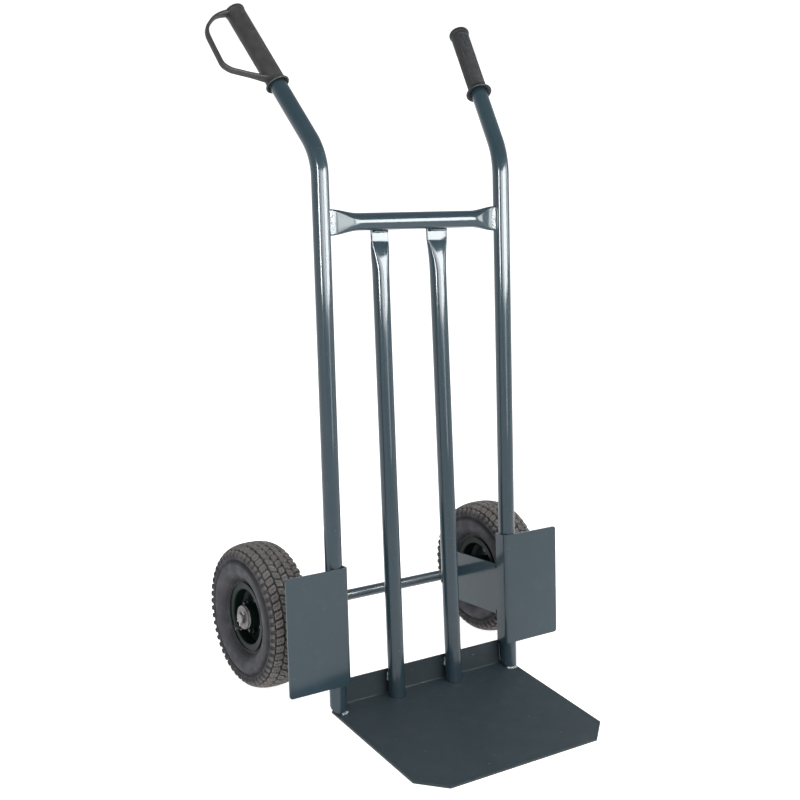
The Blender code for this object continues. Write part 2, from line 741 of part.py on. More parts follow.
def inner_tube_mesh():
    """Air tube with the hole in its wall that the valve opens into."""
    outer = swell(0.0555, 0.1215, 0.090, 0.0310, 2.0, math.pi / 2, -1.5 * math.pi, 9)[:-1]
    inner = swell(0.0570, 0.1200, 0.090, 0.0290, 2.0, math.pi / 2, -1.5 * math.pi, 6)[:-1]
    skin = turned_mesh("inner_tube", outer, 20, closed=True)
    air = turned_mesh("air", inner, 20, closed=True)
    opening = rod_mesh("valve_opening", 0.0042, 0.030, 10,
                       Matrix.Translation((0.060, 0.0, VALVE_PLACE)) @ ALONG_X)
    opening.transform(Matrix.Rotation(VALVE_ANGLE, 4, "Z"))
    return cut(cut(skin, air), opening)


def rim_mesh(name, split, direction):
    """Half of the rim: centre web, barrel and rolled flange; direction is +1 or -1."""
    web = split + direction * (RIM_SHEET / 2 + GAP / 2)
    barrel_start = web + direction * 0.006
    edge = direction * RIM_HALF_WIDTH
    profile = [(HUB_RADIUS + GAP, web), (RIM_BARREL - 0.0065, web),
               (RIM_BARREL - 0.0025, web + direction * 0.0015),
               (RIM_BARREL, barrel_start), (RIM_BARREL, edge - direction * 0.003),
               (RIM_BARREL + 0.003, edge), (RIM_FLANGE - 0.002, edge),
               (RIM_FLANGE, edge + direction * 0.0018)]
    if direction < 0:
        profile = profile[::-1]
    mesh = turned_sheet(name, profile, 24, RIM_SHEET)
    tools = []
    for index in range(BOLT_COUNT):
        angle = BOLT_TURN + 2 * math.pi * index / BOLT_COUNT
        place = (BOLT_CIRCLE * math.cos(angle), BOLT_CIRCLE * math.sin(angle), web)
        tools.append(rod_mesh("bolt_hole", 0.0044, 0.02, 12, Matrix.Translation(place)))
    if direction > 0:
        opening = rod_mesh("valve_hole", 0.0045, 0.02, 12,
                           Matrix.Translation((RIM_BARREL, 0.0, VALVE_PLACE)) @ ALONG_X)
        opening.transform(Matrix.Rotation(VALVE_ANGLE, 4, "Z"))
        tools.append(opening)
    return cut(mesh, *tools)


def hex_bolt_mesh():
    """M8 bolt along Z: its head hangs below z = 0 and its shank points up."""
    head = rod_mesh("bolt", 0.0075, 0.0053, 6, Matrix.Translation((0.0, 0.0, -0.00265)))
    shank = rod_mesh("shank", 0.0040, 0.0185, 12, Matrix.Translation((0.0, 0.0, 0.00825)))
    return join(head, shank)


def hex_nut_mesh():
    """M8 nut along Z: it stands on z = 0 with a clear bore."""
    body = rod_mesh("nut", 0.0075, 0.0065, 6, Matrix.Translation((0.0, 0.0, 0.00325)))
    bore = rod_mesh("nut_bore", 0.0043, 0.02, 12)
    return cut(body, bore)


def wheel(word, side, shared):
    """One wheel about an empty on its axis, whose local Z points away from the truck."""
    turn = (0.0, side * math.pi / 2, 0.0)
    centre = empty(word + "_wheel_axis", (side * TRACK_HALF, AXLE_Y, WHEEL_RADIUS), turn)

    def place(name, mesh, look):
        mesh.name = word + "_" + name
        return add_part(word + "_" + name, mesh, look, centre)

    place("tyre", tyre_mesh(), RUBBER)
    place("inner_tube", inner_tube_mesh(), BUTYL)
    place("rim_outer", rim_mesh("rim_outer", RIM_SPLIT, 1), RIM_PAINT)
    place("rim_inner", rim_mesh("rim_inner", RIM_SPLIT, -1), RIM_PAINT)

    hub = ring_mesh("hub", HUB_RADIUS, HUB_BORE, 2 * HUB_HALF_LENGTH - 0.005, 24)
    place("hub", hub, RIM_PAINT)

    bore = AXLE_RADIUS + BORE_CLEARANCE
    flange = HUB_HALF_LENGTH
    seat = HUB_HALF_LENGTH - 0.0025 + GAP
    sleeve = HUB_BORE - GAP
    profile = [(bore, flange), (HUB_RADIUS - 0.001, flange), (HUB_RADIUS - 0.001, seat),
               (sleeve, seat), (sleeve, seat - 0.016), (bore, seat - 0.016)]
    place("bush_outer", turned_mesh("bush", profile, 20, closed=True), NYLON)
    inner_bush = turned_mesh("bush", profile, 20, closed=True)
    inner_bush.transform(Matrix.Rotation(math.pi, 4, "X"))
    place("bush_inner", inner_bush, NYLON)

    outside = RIM_SPLIT + RIM_SHEET + GAP / 2 + GAP
    inside = RIM_SPLIT - RIM_SHEET - GAP / 2 - GAP
    for index in range(BOLT_COUNT):
        angle = BOLT_TURN + 2 * math.pi * index / BOLT_COUNT
        spot = Vector((BOLT_CIRCLE * math.cos(angle), BOLT_CIRCLE * math.sin(angle), 0.0))
        bolt = add_part("%s_rim_bolt_%d" % (word, index + 1), shared["bolt"], ZINC, centre)
        bolt.location = spot + Vector((0.0, 0.0, inside))
        nut = add_part("%s_rim_nut_%d" % (word, index + 1), shared["nut"], ZINC, centre)
        nut.location = spot + Vector((0.0, 0.0, outside))

    stem_run = [(0.0605, 0.0, VALVE_PLACE), (VALVE_RADIUS, 0.0, VALVE_PLACE),
                (VALVE_RADIUS, 0.0, VALVE_PLACE + VALVE_REACH)]
    stem = tube_mesh("valve_stem", rounded_path(stem_run, 0.006, 4), 0.0033, 3)
    stem.transform(Matrix.Rotation(VALVE_ANGLE, 4, "Z"))
    place("valve_stem", stem, BUTYL)
    top = VALVE_PLACE + VALVE_REACH + GAP
    cap = turned_mesh("valve_cap", [(0.0, top + 0.009), (0.0030, top + 0.009),
                                    (0.0042, top + 0.0075), (0.0042, top), (0.0, top)], 12)
    cap.transform(Matrix.Translation((VALVE_RADIUS, 0.0, 0.0)))
    cap.transform(Matrix.Rotation(VALVE_ANGLE, 4, "Z"))
    place("valve_cap", cap, BUTYL)


def build():
    for word, side in (("left", -1), ("right", 1)):
        rail(word + "_rail_tube", side)
        narrowing = LEFT_TAB_NARROWING if side < 0 else RIGHT_TAB_NARROWING
        middle_tube(word + "_middle_tube", side, narrowing)
        guard(word + "_guard_bracket", side)
        axle_hardware(word, side)
    crossbar()
    toe_plate()
    axle()
    left_grip()
    right_grip()
    shared = {"bolt": hex_bolt_mesh(), "nut": hex_nut_mesh()}
    for word, side in (("left", -1), ("right", 1)):
        wheel(word, side, shared)


build()
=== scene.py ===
"""Looks of a hand truck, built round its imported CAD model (metres, +Z up)."""

import json
import math
import random

import bmesh
import bpy
import numpy as np
from mathutils import Matrix, Vector, noise


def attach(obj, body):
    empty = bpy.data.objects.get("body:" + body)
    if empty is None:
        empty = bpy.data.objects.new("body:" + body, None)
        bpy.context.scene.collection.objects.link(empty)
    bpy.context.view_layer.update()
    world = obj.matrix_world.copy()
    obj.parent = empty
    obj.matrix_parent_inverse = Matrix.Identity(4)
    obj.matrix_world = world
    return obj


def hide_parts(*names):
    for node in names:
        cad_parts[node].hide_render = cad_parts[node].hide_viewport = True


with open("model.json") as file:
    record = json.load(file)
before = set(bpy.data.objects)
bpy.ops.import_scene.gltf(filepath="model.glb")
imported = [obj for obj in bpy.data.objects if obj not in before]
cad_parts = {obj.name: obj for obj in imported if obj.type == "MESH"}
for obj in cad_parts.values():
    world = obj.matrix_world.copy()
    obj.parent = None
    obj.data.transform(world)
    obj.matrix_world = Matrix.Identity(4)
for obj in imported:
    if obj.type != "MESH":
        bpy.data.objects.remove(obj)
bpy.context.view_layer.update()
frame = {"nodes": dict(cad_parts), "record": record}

# Sizes that the CAD solids have too.
GAP = 0.0003
MERGE = 0.000002
TUBE_RADIUS = 0.015
TUBE_WALL = 0.002
TUBE_SIDES = 48
RAIL_X = 0.190
RAIL_LEAN = math.radians(9.5)
BEND_HEIGHT = 0.945
BEND_RADIUS = 0.105
HANDLE_TILT = math.radians(46.0)
HANDLE_SPLAY = math.radians(8.8)
HANDLE_LENGTH = 0.300
FOOT_MITRE = math.radians(22.0)
FLOOR_CLEAR = 0.0043
CROSSBAR_HEIGHT = 0.835
FLAT_THICKNESS = 0.005
CROSSBAR_FLARE = 0.056
MIDDLE_BOTTOM_X = 0.0635
MIDDLE_TOP_X = 0.0605
MIDDLE_FLARE = 0.058
TAB_LENGTH = 0.041
TAB_EASE = 1.8
TAB_NARROWING = {-1: 0.22, 1: 0.0}
MIDDLE_SETBACK = -0.0015
MIDDLE_SHIFT = -0.0040
PLATE_THICKNESS = 0.004
WHEEL_RADIUS = 0.130
TYRE_HALF_WIDTH = 0.0425
TREAD_DEPTH = 0.0045
CROWN_RADIUS = WHEEL_RADIUS - TREAD_DEPTH
WAIST_RADIUS = 0.098
TYRE_POWER = 2.6
TRACK_HALF = 0.2575
AXLE_Y = 0.171
RIM_BARREL = 0.050
RIM_FLANGE = 0.0625
RIM_HALF_WIDTH = 0.0275
RIM_SPLIT = 0.003
RIM_SHEET = 0.002
BOLT_CIRCLE = 0.034
BOLT_COUNT = 4
BOLT_TURN = math.radians(75.0)
VALVE_RADIUS = 0.0425
VALVE_PLACE = 0.0125
VALVE_ANGLE = math.radians(142.0)
HUB_RADIUS = 0.0215
GRIP_RADIUS = 0.0170
GRIP_START = 0.150
COLLAR_RADIUS = {-1: 0.0213, 1: 0.0240}
CAP_BEAD = {-1: 0.0010, 1: 0.0020}
GRIP_END = {-1: 0.322, 1: 0.306}
STRAP_REACH = 0.083

LEAN = Matrix.Rotation(-RAIL_LEAN, 4, "X")
CROSSBAR_UP = CROSSBAR_HEIGHT / math.cos(RAIL_LEAN)
BEND_UP = BEND_HEIGHT / math.cos(RAIL_LEAN)
SIDES = (("left", -1), ("right", 1))


# ---- materials

class Look:
    """A Principled material and short ways to add nodes to it."""

    def __init__(self, name, roughness=0.5, metallic=0.0):
        self.material = bpy.data.materials.new(name)
        self.material.use_nodes = True
        self.tree = self.material.node_tree
        self.shader = self.tree.nodes["Principled BSDF"]
        self.shader.inputs["Roughness"].default_value = roughness
        self.shader.inputs["Metallic"].default_value = metallic
        self.place = self.node("ShaderNodeTexCoord").outputs["Object"]

    def node(self, kind, **values):
        made = self.tree.nodes.new(kind)
        for key, value in values.items():
            setattr(made, key, value)
        return made

    def feed(self, socket, value):
        if isinstance(value, bpy.types.NodeSocket):
            self.tree.links.new(value, socket)
        elif isinstance(value, tuple) and len(value) == 3 and len(socket.default_value) == 4:
            socket.default_value = (*value, 1.0)
        else:
            socket.default_value = value

    def scaled(self, factors):
        made = self.node("ShaderNodeMapping")
        self.feed(made.inputs["Vector"], self.place)
        made.inputs["Scale"].default_value = factors
        return made.outputs["Vector"]

    def noise(self, scale, detail=3.0, rough=0.5, vector=None):
        made = self.node("ShaderNodeTexNoise")
        self.feed(made.inputs["Vector"], vector or self.place)
        made.inputs["Scale"].default_value = scale
        made.inputs["Detail"].default_value = detail
        made.inputs["Roughness"].default_value = rough
        return made.outputs["Fac"]

    def cells(self, scale, vector=None):
        made = self.node("ShaderNodeTexVoronoi")
        self.feed(made.inputs["Vector"], vector or self.place)
        made.inputs["Scale"].default_value = scale
        return made.outputs["Distance"]

    def band(self, value, low, high, to_low=0.0, to_high=1.0):
        made = self.node("ShaderNodeMapRange", clamp=True, interpolation_type="SMOOTHSTEP")
        self.feed(made.inputs["Value"], value)
        for key, number in (("From Min", low), ("From Max", high),
                            ("To Min", to_low), ("To Max", to_high)):
            made.inputs[key].default_value = number
        return made.outputs["Result"]

    def sum(self, operation, first, second=0.0):
        made = self.node("ShaderNodeMath", operation=operation)
        self.feed(made.inputs[0], first)
        self.feed(made.inputs[1], second)
        return made.outputs[0]

    def mix(self, factor, first, second):
        made = self.node("ShaderNodeMix", data_type="RGBA")
        self.feed(made.inputs[0], factor)
        self.feed(made.inputs[6], first)
        self.feed(made.inputs[7], second)
        return made.outputs[2]

    def axis(self, letter):
        made = self.node("ShaderNodeSeparateXYZ")
        self.feed(made.inputs[0], self.place)
        return made.outputs[letter]

    def radius_about(self, first, second):
        """Distance from the object's own axis that the two letters are square to."""
        a = self.axis(first)
        b = self.axis(second)
        total = self.sum("ADD", self.sum("MULTIPLY", a, a), self.sum("MULTIPLY", b, b))
        return self.sum("SQRT", total)

    def bump(self, height, distance, strength=1.0, under=None):
        made = self.node("ShaderNodeBump")
        self.feed(made.inputs["Height"], height)
        made.inputs["Distance"].default_value = distance
        made.inputs["Strength"].default_value = strength
        if under:
            self.feed(made.inputs["Normal"], under)
        return made.outputs["Normal"]

    def finish(self, colour, normal=None, roughness=None):
        self.feed(self.shader.inputs["Base Color"], colour)
        if normal:
            self.feed(self.shader.inputs["Normal"], normal)
        if roughness is not None:
            self.feed(self.shader.inputs["Roughness"], roughness)
        return self.material


def paint(name, colour, rough, coat, dust=0.035, wear=0.45, peel=0.00005, specular=0.05):
    """Gloss enamel: orange peel, faint flakes, dust, fine scratches and small chips."""
    look = Look(name, rough)
    look.shader.inputs["Coat Weight"].default_value = coat
    look.shader.inputs["Coat Roughness"].default_value = 0.11
    look.shader.inputs["Specular IOR Level"].default_value = specular
    light = tuple(min(1.0, value * 1.14) for value in colour)
    dark = tuple(value * 0.88 for value in colour)
    base = look.mix(look.noise(7.0, 4.0, 0.55), dark, light)
    flakes = look.band(look.noise(1500.0, 2.0), 0.56, 0.72, 0.0, 0.16)
    base = look.mix(flakes, base, tuple(value * 2.2 + 0.02 for value in colour))
    haze = look.band(look.noise(23.0, 6.0, 0.62), 0.48, 0.78, 0.0, dust)
    base = look.mix(haze, base, (0.20, 0.19, 0.175))
    scratch_place = look.scaled((40.0, 40.0, 420.0))
    scratch = look.band(look.noise(1.0, 3.0, 0.6, scratch_place), 0.68, 0.74, 0.0, 0.35)
    scratch = look.sum("MULTIPLY", scratch, look.band(look.noise(9.0, 2.0), 0.50, 0.62))
    base = look.mix(scratch, base, (0.17, 0.19, 0.20))
    chips = look.band(look.noise(170.0, 4.0, 0.6), 0.70, 0.74, 0.0, wear)
    base = look.mix(chips, base, (0.20, 0.23, 0.25))
    normal = look.bump(look.noise(260.0, 2.0, 0.45), peel)
    normal = look.bump(look.noise(34.0, 2.0), 0.00008, 0.4, normal)
    shine = look.band(look.noise(31.0, 5.0), 0.35, 0.75, rough - 0.02, rough + 0.04)
    shine = look.sum("ADD", shine, look.sum("MULTIPLY", scratch, 0.3))
    return look.finish(base, normal, shine)


def metal(name, colour, rough, stain=0.25):
    """Plated steel with dull patches and a few brown spots."""
    look = Look(name, rough, 1.0)
    dull = tuple(value * 0.62 for value in colour)
    base = look.mix(look.noise(90.0, 5.0, 0.6), dull, colour)
    spots = look.band(look.noise(320.0, 4.0, 0.6), 0.58, 0.74, 0.0, stain)
    base = look.mix(spots, base, (0.16, 0.12, 0.08))
    normal = look.bump(look.noise(700.0, 3.0), 0.00004)
    shine = look.band(look.noise(140.0, 4.0), 0.3, 0.7, rough - 0.08, rough + 0.14)
    return look.finish(base, normal, shine)


def weld_metal():
    """Bare, heat-tinted weld bead with specks of paint on it."""
    look = Look("weld_bead", 0.45, 0.15)
    look.shader.inputs["Specular IOR Level"].default_value = 0.30
    base = look.mix(look.noise(420.0, 4.0, 0.6), (0.20, 0.23, 0.25), (0.58, 0.60, 0.62))
    soot = look.band(look.noise(230.0, 4.0, 0.6), 0.50, 0.62, 0.0, 0.85)
    base = look.mix(soot, base, (0.05, 0.07, 0.08))
    normal = look.bump(look.noise(900.0, 3.0), 0.00012)
    return look.finish(base, normal, look.band(look.noise(260.0, 3.0), 0.3, 0.7, 0.18, 0.45))


def tyre_rubber():
    """Sidewall clean and bluish grey with a painted sheen on its bulge and painted shade in its
    crease ring; tread dusty brown with painted shade in its grooves; all in the wheel's own space.
    """
    look = Look("tyre_rubber", 0.72)
    look.shader.inputs["Specular IOR Level"].default_value = 0.35
    radius = look.radius_about("Y", "Z")
    patch = look.noise(26.0, 5.0, 0.6)
    side = look.mix(patch, (0.014, 0.014, 0.018), (0.033, 0.032, 0.039))
    tread = look.mix(look.noise(55.0, 5.0, 0.65), (0.048, 0.044, 0.045), (0.190, 0.168, 0.160))
    # Painted sheen: the raised band of the sidewall, between the rim and the crease ring, is
    # lightened towards a bluish grey.
    bulge = look.sum("MULTIPLY", look.band(radius, 0.068, 0.082),
                     look.band(radius, 0.094, 0.101, 1.0, 0.0))
    side = look.mix(look.sum("MULTIPLY", bulge, 0.40), side, (0.058, 0.058, 0.070))
    # Painted shade: the moulded crease ring on the sidewall is darkened.
    crease_shade = look.sum("MULTIPLY", look.band(radius, 0.0970, 0.1005),
                      look.band(radius, 0.1035, 0.1075, 1.0, 0.0))
    side = look.mix(look.sum("MULTIPLY", crease_shade, 0.75), side, (0.010, 0.010, 0.012))
    on_tread = look.band(radius, 0.1105, 0.1200)
    base = look.mix(on_tread, side, tread)
    # Painted shade: the groove floors between tread blocks are darkened, found by how far the
    # rubber lies below the crown's curve.
    share = look.sum("DIVIDE", look.sum("ABSOLUTE", look.axis("X")), TYRE_HALF_WIDTH)
    fall = look.sum("SUBTRACT", 1.0, look.sum("POWER", share, TYRE_POWER))
    rise = look.sum("POWER", look.sum("MAXIMUM", fall, 0.0), 1 / TYRE_POWER)
    rise = look.sum("MULTIPLY", rise, CROWN_RADIUS - WAIST_RADIUS)
    crown = look.sum("ADD", rise, WAIST_RADIUS)
    groove_shade = look.band(look.sum("SUBTRACT", radius, crown), 0.0006, 0.0030, 0.85, 0.0)
    groove_shade = look.sum("MULTIPLY", groove_shade, on_tread)
    base = look.mix(groove_shade, base, (0.012, 0.011, 0.011))
    dust = look.band(look.noise(70.0, 6.0, 0.65), 0.52, 0.80, 0.0, 0.32)
    base = look.mix(dust, base, (0.15, 0.125, 0.105))
    normal = look.bump(look.noise(520.0, 4.0, 0.6), 0.00016)
    normal = look.bump(look.noise(95.0, 3.0), 0.00025, 0.6, normal)
    return look.finish(base, normal, look.band(look.noise(48.0, 4.0), 0.3, 0.7, 0.58, 0.84))


def moulded(name, dark, light, rough, grain):
    """Matt moulded rubber or plastic with a fine grain and rubbed patches."""
    look = Look(name, rough)
    look.shader.inputs["Specular IOR Level"].default_value = 0.4
    base = look.mix(look.noise(30.0, 4.0, 0.6), dark, light)
    lint = look.band(look.noise(640.0, 2.0), 0.66, 0.74, 0.0, 0.22)
    base = look.mix(lint, base, tuple(value * 2.6 for value in light))
    rubbed = look.band(look.noise(42.0, 5.0, 0.65), 0.56, 0.74, 0.0, 0.30)
    base = look.mix(rubbed, base, tuple(value * 1.9 for value in light))
    normal = look.bump(look.noise(520.0, 3.0, 0.6), grain)
    normal = look.bump(look.cells(900.0), grain * 0.5, 0.7, normal)
    shine = look.band(look.noise(60.0, 3.0), 0.3, 0.7, rough - 0.1, rough + 0.1)
    return look.finish(base, normal, shine)


def axle_paint():
    """Painted bar whose two ends, outside the guards, are bare zinc."""
    look = Look("axle_paint", 0.28)
    look.shader.inputs["Coat Weight"].default_value = 0.5
    look.shader.inputs["Coat Roughness"].default_value = 0.1
    base = look.mix(look.noise(9.0, 4.0), (0.012, 0.026, 0.036), (0.020, 0.038, 0.050))
    flakes = look.band(look.noise(1500.0, 2.0), 0.56, 0.72, 0.0, 0.16)
    base = look.mix(flakes, base, (0.15, 0.17, 0.18))
    end = look.band(look.sum("ABSOLUTE", look.axis("X")), 0.286, 0.290)
    zinc = look.mix(look.noise(240.0, 4.0), (0.10, 0.096, 0.095), (0.19, 0.185, 0.18))
    base = look.mix(end, base, zinc)
    look.feed(look.shader.inputs["Metallic"], look.sum("MULTIPLY", end, 0.9))
    normal = look.bump(look.noise(260.0, 2.0), 0.00006)
    return look.finish(base, normal, look.band(look.noise(40.0, 4.0), 0.3, 0.7, 0.34, 0.46))


LOOKS = {
    "frame_paint": paint("frame_paint", (0.021, 0.043, 0.057), 0.38, 0.80),
    "plate_paint": paint("plate_paint", (0.0152, 0.0265, 0.0335), 0.52, 0.0, dust=0.05,
                         wear=0.8, peel=0.00010, specular=0.32),
    "axle_paint": axle_paint(),
    "rim_paint": paint("rim_paint", (0.005, 0.011, 0.010), 0.42, 0.12, dust=0.02, wear=0.25),
    "zinc": metal("zinc", (0.21, 0.20, 0.20), 0.55),
    "dark_zinc": metal("dark_zinc", (0.085, 0.090, 0.092), 0.36),
    "pin_steel": metal("pin_steel", (0.62, 0.62, 0.60), 0.24, stain=0.10),
    "weld": weld_metal(),
    "tyre_rubber": tyre_rubber(),
}
for moulded_name, dark_end, light_end, roughness, grain_depth in (
        ("tube_rubber", (0.008, 0.008, 0.009), (0.020, 0.020, 0.021), 0.55, 0.00012),
        ("grip_rubber", (0.015, 0.015, 0.014), (0.027, 0.027, 0.025), 0.62, 0.00016),
        ("right_grip_rubber", (0.006, 0.006, 0.0075), (0.0125, 0.0125, 0.015), 0.60, 0.00014),
        ("valve_rubber", (0.008, 0.008, 0.008), (0.018, 0.018, 0.018), 0.45, 0.00012),
        ("bush_nylon", (0.42, 0.40, 0.34), (0.56, 0.54, 0.47), 0.45, 0.00012)):
    LOOKS[moulded_name] = moulded(moulded_name, dark_end, light_end, roughness, grain_depth)


# ---- shapes

WELD_RIPPLE = 0.0023
BAR_WELD_WIDTH = {-1: 0.0125, 1: 0.0165}
TAB_WELD_REACH = {-1: 0.0150, 1: 0.0195}


def smoothstep(value):
    value = min(max(value, 0.0), 1.0)
    return value * value * (3.0 - 2.0 * value)


def rounded_path(points, radius, steps):
    """Straight runs whose corners are arcs of one radius."""
    path = [Vector(points[0])]
    for before, corner, after in zip(points, points[1:], points[2:]):
        corner = Vector(corner)
        back = (Vector(before) - corner).normalized()
        ahead = (Vector(after) - corner).normalized()
        half = back.angle(ahead) / 2
        middle = corner + (back + ahead).normalized() * radius / math.sin(half)
        start = corner + back * radius / math.tan(half) - middle
        end = corner + ahead * radius / math.tan(half) - middle
        sweep = start.angle(end)
        for index in range(steps + 1):
            angle = sweep * index / steps
            arm = (start * math.sin(sweep - angle) + end * math.sin(angle)) / math.sin(sweep)
            path.append(middle + arm)
    path.append(Vector(points[-1]))
    return path


def refined(path, longest):
    """The same path with points added where two stand further apart than longest."""
    out = [path[0]]
    for before, after in zip(path, path[1:]):
        count = max(1, math.ceil((after - before).length / longest))
        out += [before.lerp(after, index / count) for index in range(1, count + 1)]
    return out


def grid(rings, around=True, along=False, caps=False):
    """A bmesh skin over rings of points."""
    form = bmesh.new()
    verts = [[form.verts.new(place) for place in ring] for ring in rings]
    count = len(rings[0])
    pairs = list(zip(verts, verts[1:]))
    if along:
        pairs.append((verts[-1], verts[0]))
    for lower, upper in pairs:
        for index in range(count if around else count - 1):
            after = (index + 1) % count
            form.faces.new((lower[index], lower[after], upper[after], upper[index]))
    if caps:
        form.faces.new(verts[0][::-1])
        form.faces.new(verts[-1])
    return form


def to_mesh(name, *forms, flat_above=math.radians(38)):
    whole = bmesh.new()
    for form in forms:
        piece = bpy.data.meshes.new("piece")
        bmesh.ops.recalc_face_normals(form, faces=form.faces)
        form.to_mesh(piece)
        form.free()
        whole.from_mesh(piece)
        bpy.data.meshes.remove(piece)
    mesh = bpy.data.meshes.new(name)
    whole.to_mesh(mesh)
    whole.free()
    mesh.polygons.foreach_set("use_smooth", [True] * len(mesh.polygons))
    mesh.set_sharp_from_angle(angle=flat_above)
    return mesh


def linked(name, data, place=(0.0, 0.0, 0.0)):
    made = bpy.data.objects.new(name, data)
    bpy.context.scene.collection.objects.link(made)
    made.location = place
    return made


def moved(form, matrix):
    bmesh.ops.transform(form, matrix=matrix, verts=form.verts)


def add_piece(name, mesh, body, slot, replaced=(), look=None, place=(0.0, 0.0, 0.0)):
    made = linked(name, mesh, place)
    mesh.materials.append(LOOKS[look or slot])
    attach(made, body)
    if replaced:
        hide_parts(*replaced)


def cut_below(form, place, upward):
    """Cut a tube's foot off at a plane and close the cut between its two walls."""
    bmesh.ops.bisect_plane(form, geom=form.verts[:] + form.edges[:] + form.faces[:],
                           plane_co=place, plane_no=upward, clear_inner=True)
    rim = [edge for edge in form.edges if edge.is_boundary]
    bmesh.ops.bridge_loops(form, edges=rim)


def tube_rings(path, radius_at, sides, first_side=None):
    """Rings round a path; radius_at(index, share) may change along it."""
    first = Vector(first_side or (1.0, 0.0, 0.0))
    rings = []
    for index, place in enumerate(path):
        before = path[max(index - 1, 0)]
        after = path[min(index + 1, len(path) - 1)]
        along = (after - before).normalized()
        out = (first - along * first.dot(along)).normalized()
        third = along.cross(out)
        radius = radius_at(index, index / (len(path) - 1))
        rings.append([place + (out * math.cos(2 * math.pi * step / sides)
                               + third * math.sin(2 * math.pi * step / sides)) * radius
                      for step in range(sides)])
    return rings


def turned(profile, steps, closed=True):
    """Turn a profile of (radius, height) about Z."""
    rings = []
    for index in range(steps):
        angle = 2 * math.pi * index / steps
        rings.append([Vector((radius * math.cos(angle), radius * math.sin(angle), height))
                      for radius, height in profile])
    form = grid(rings, around=closed, along=True)
    bmesh.ops.remove_doubles(form, verts=form.verts, dist=1e-6)
    return form


def sheet_profile(points, thickness, corner, steps):
    """Closed outline of a bent sheet whose middle line is given by its corners."""
    line = rounded_path([Vector((radius, 0.0, height)) for radius, height in points], corner, steps)
    left, right = [], []
    for index, place in enumerate(line):
        before = line[max(index - 1, 0)]
        after = line[min(index + 1, len(line) - 1)]
        along = (after - before).normalized()
        across = Vector((-along.z, 0.0, along.x)) * thickness / 2
        left.append(place + across)
        right.append(place - across)
    return [(place.x, place.z) for place in left + right[::-1]]


# ---- frame tubes

def handle_direction(side):
    return Vector((side * math.sin(HANDLE_SPLAY), math.sin(HANDLE_TILT),
                   math.cos(HANDLE_TILT))).normalized()


def bend_point(side):
    return LEAN @ Vector((side * RAIL_X, 0.0, BEND_UP))


def rail(word, side):
    corner = bend_point(side)
    start = LEAN @ Vector((side * RAIL_X, 0.0, -0.02))
    finish = corner + handle_direction(side) * HANDLE_LENGTH
    path = refined(rounded_path([start, corner, finish], BEND_RADIUS, 22), 0.03)
    outer = tube_rings(path, lambda index, share: TUBE_RADIUS, TUBE_SIDES)
    inner = tube_rings(path, lambda index, share: TUBE_RADIUS - TUBE_WALL, TUBE_SIDES)
    form = grid(outer + inner[::-1])
    tilt = Vector((0.0, -math.sin(FOOT_MITRE), math.cos(FOOT_MITRE)))
    foot = Vector((side * RAIL_X, -TUBE_RADIUS, FLOOR_CLEAR))
    cut_below(form, foot, tilt)
    add_piece(word + "_rail", to_mesh(word + "_rail", form), "frame", "frame_paint",
              [word + "_rail_tube"])


def pressed_rings(start, end, wide, thin, flatness_at, stations, inset, narrowing):
    """Rings of a round tube that is pressed flat by flatness_at(distance)."""
    rings = []
    length = (end - start).length
    for share in stations:
        centre = start.lerp(end, share)
        flatness = flatness_at(length * share)
        girth = TUBE_RADIUS - inset
        flat = FLAT_THICKNESS / 2 - min(inset, TUBE_WALL * 0.9)
        corner = girth + (flat - girth) * flatness
        straight = math.pi * (girth - corner) / 2 * (1.0 - narrowing * flatness)
        ring = []
        for index in range(TUBE_SIDES):
            angle = 2 * math.pi * (index + 0.5) / TUBE_SIDES
            shift = math.copysign(straight, math.cos(angle))
            ring.append(centre + wide * (shift + corner * math.cos(angle))
                        + thin * corner * math.sin(angle))
        rings.append([LEAN @ place for place in ring])
    return rings


def pressed_tube(start, end, wide, thin, flatness_at, count=70, narrowing=0.0):
    stations = [index / count for index in range(count + 1)]
    outer = pressed_rings(start, end, wide, thin, flatness_at, stations, 0.0, narrowing)
    inner = pressed_rings(start, end, wide, thin, flatness_at, stations, TUBE_WALL, narrowing)
    return grid(outer + inner[::-1], along=True)


def crossbar():
    reach = RAIL_X - TUBE_RADIUS - GAP
    start = Vector((-reach, 0.0, CROSSBAR_UP))
    end = Vector((reach, 0.0, CROSSBAR_UP))

    def flatness(distance):
        return 1.0 - smoothstep(min(distance, 2 * reach - distance) / CROSSBAR_FLARE)

    form = pressed_tube(start, end, Vector((0, 0, 1)), Vector((0, 1, 0)), flatness)
    add_piece("crossbar", to_mesh("crossbar", form), "frame", "frame_paint", ["top_crossbar"])


def middle_tube(word, side):
    lap = TUBE_RADIUS + GAP + FLAT_THICKNESS / 2
    foot = (LEAN.inverted() @ Vector((0.0, 0.0, FLOOR_CLEAR + 0.0003))).z
    start = Vector((side * MIDDLE_BOTTOM_X + MIDDLE_SHIFT, MIDDLE_SETBACK, foot - 0.02))
    end = Vector((side * MIDDLE_TOP_X + MIDDLE_SHIFT, lap + 0.0004, CROSSBAR_UP + 0.008))
    length = (end - start).length
    round_until = length - TAB_LENGTH - MIDDLE_FLARE

    def flatness(distance):
        share = min(max((distance - round_until) / MIDDLE_FLARE, 0.0), 1.0)
        return share ** TAB_EASE

    form = pressed_tube(start, end, Vector((1, 0, 0)), Vector((0, 1, 0)), flatness, count=170,
                        narrowing=TAB_NARROWING[side])
    cut_below(form, (0.0, 0.0, FLOOR_CLEAR), (0, 0, 1))
    add_piece(word + "_middle", to_mesh(word + "_middle", form), "frame", "frame_paint",
              [word + "_middle_tube"])


# ---- weld beads

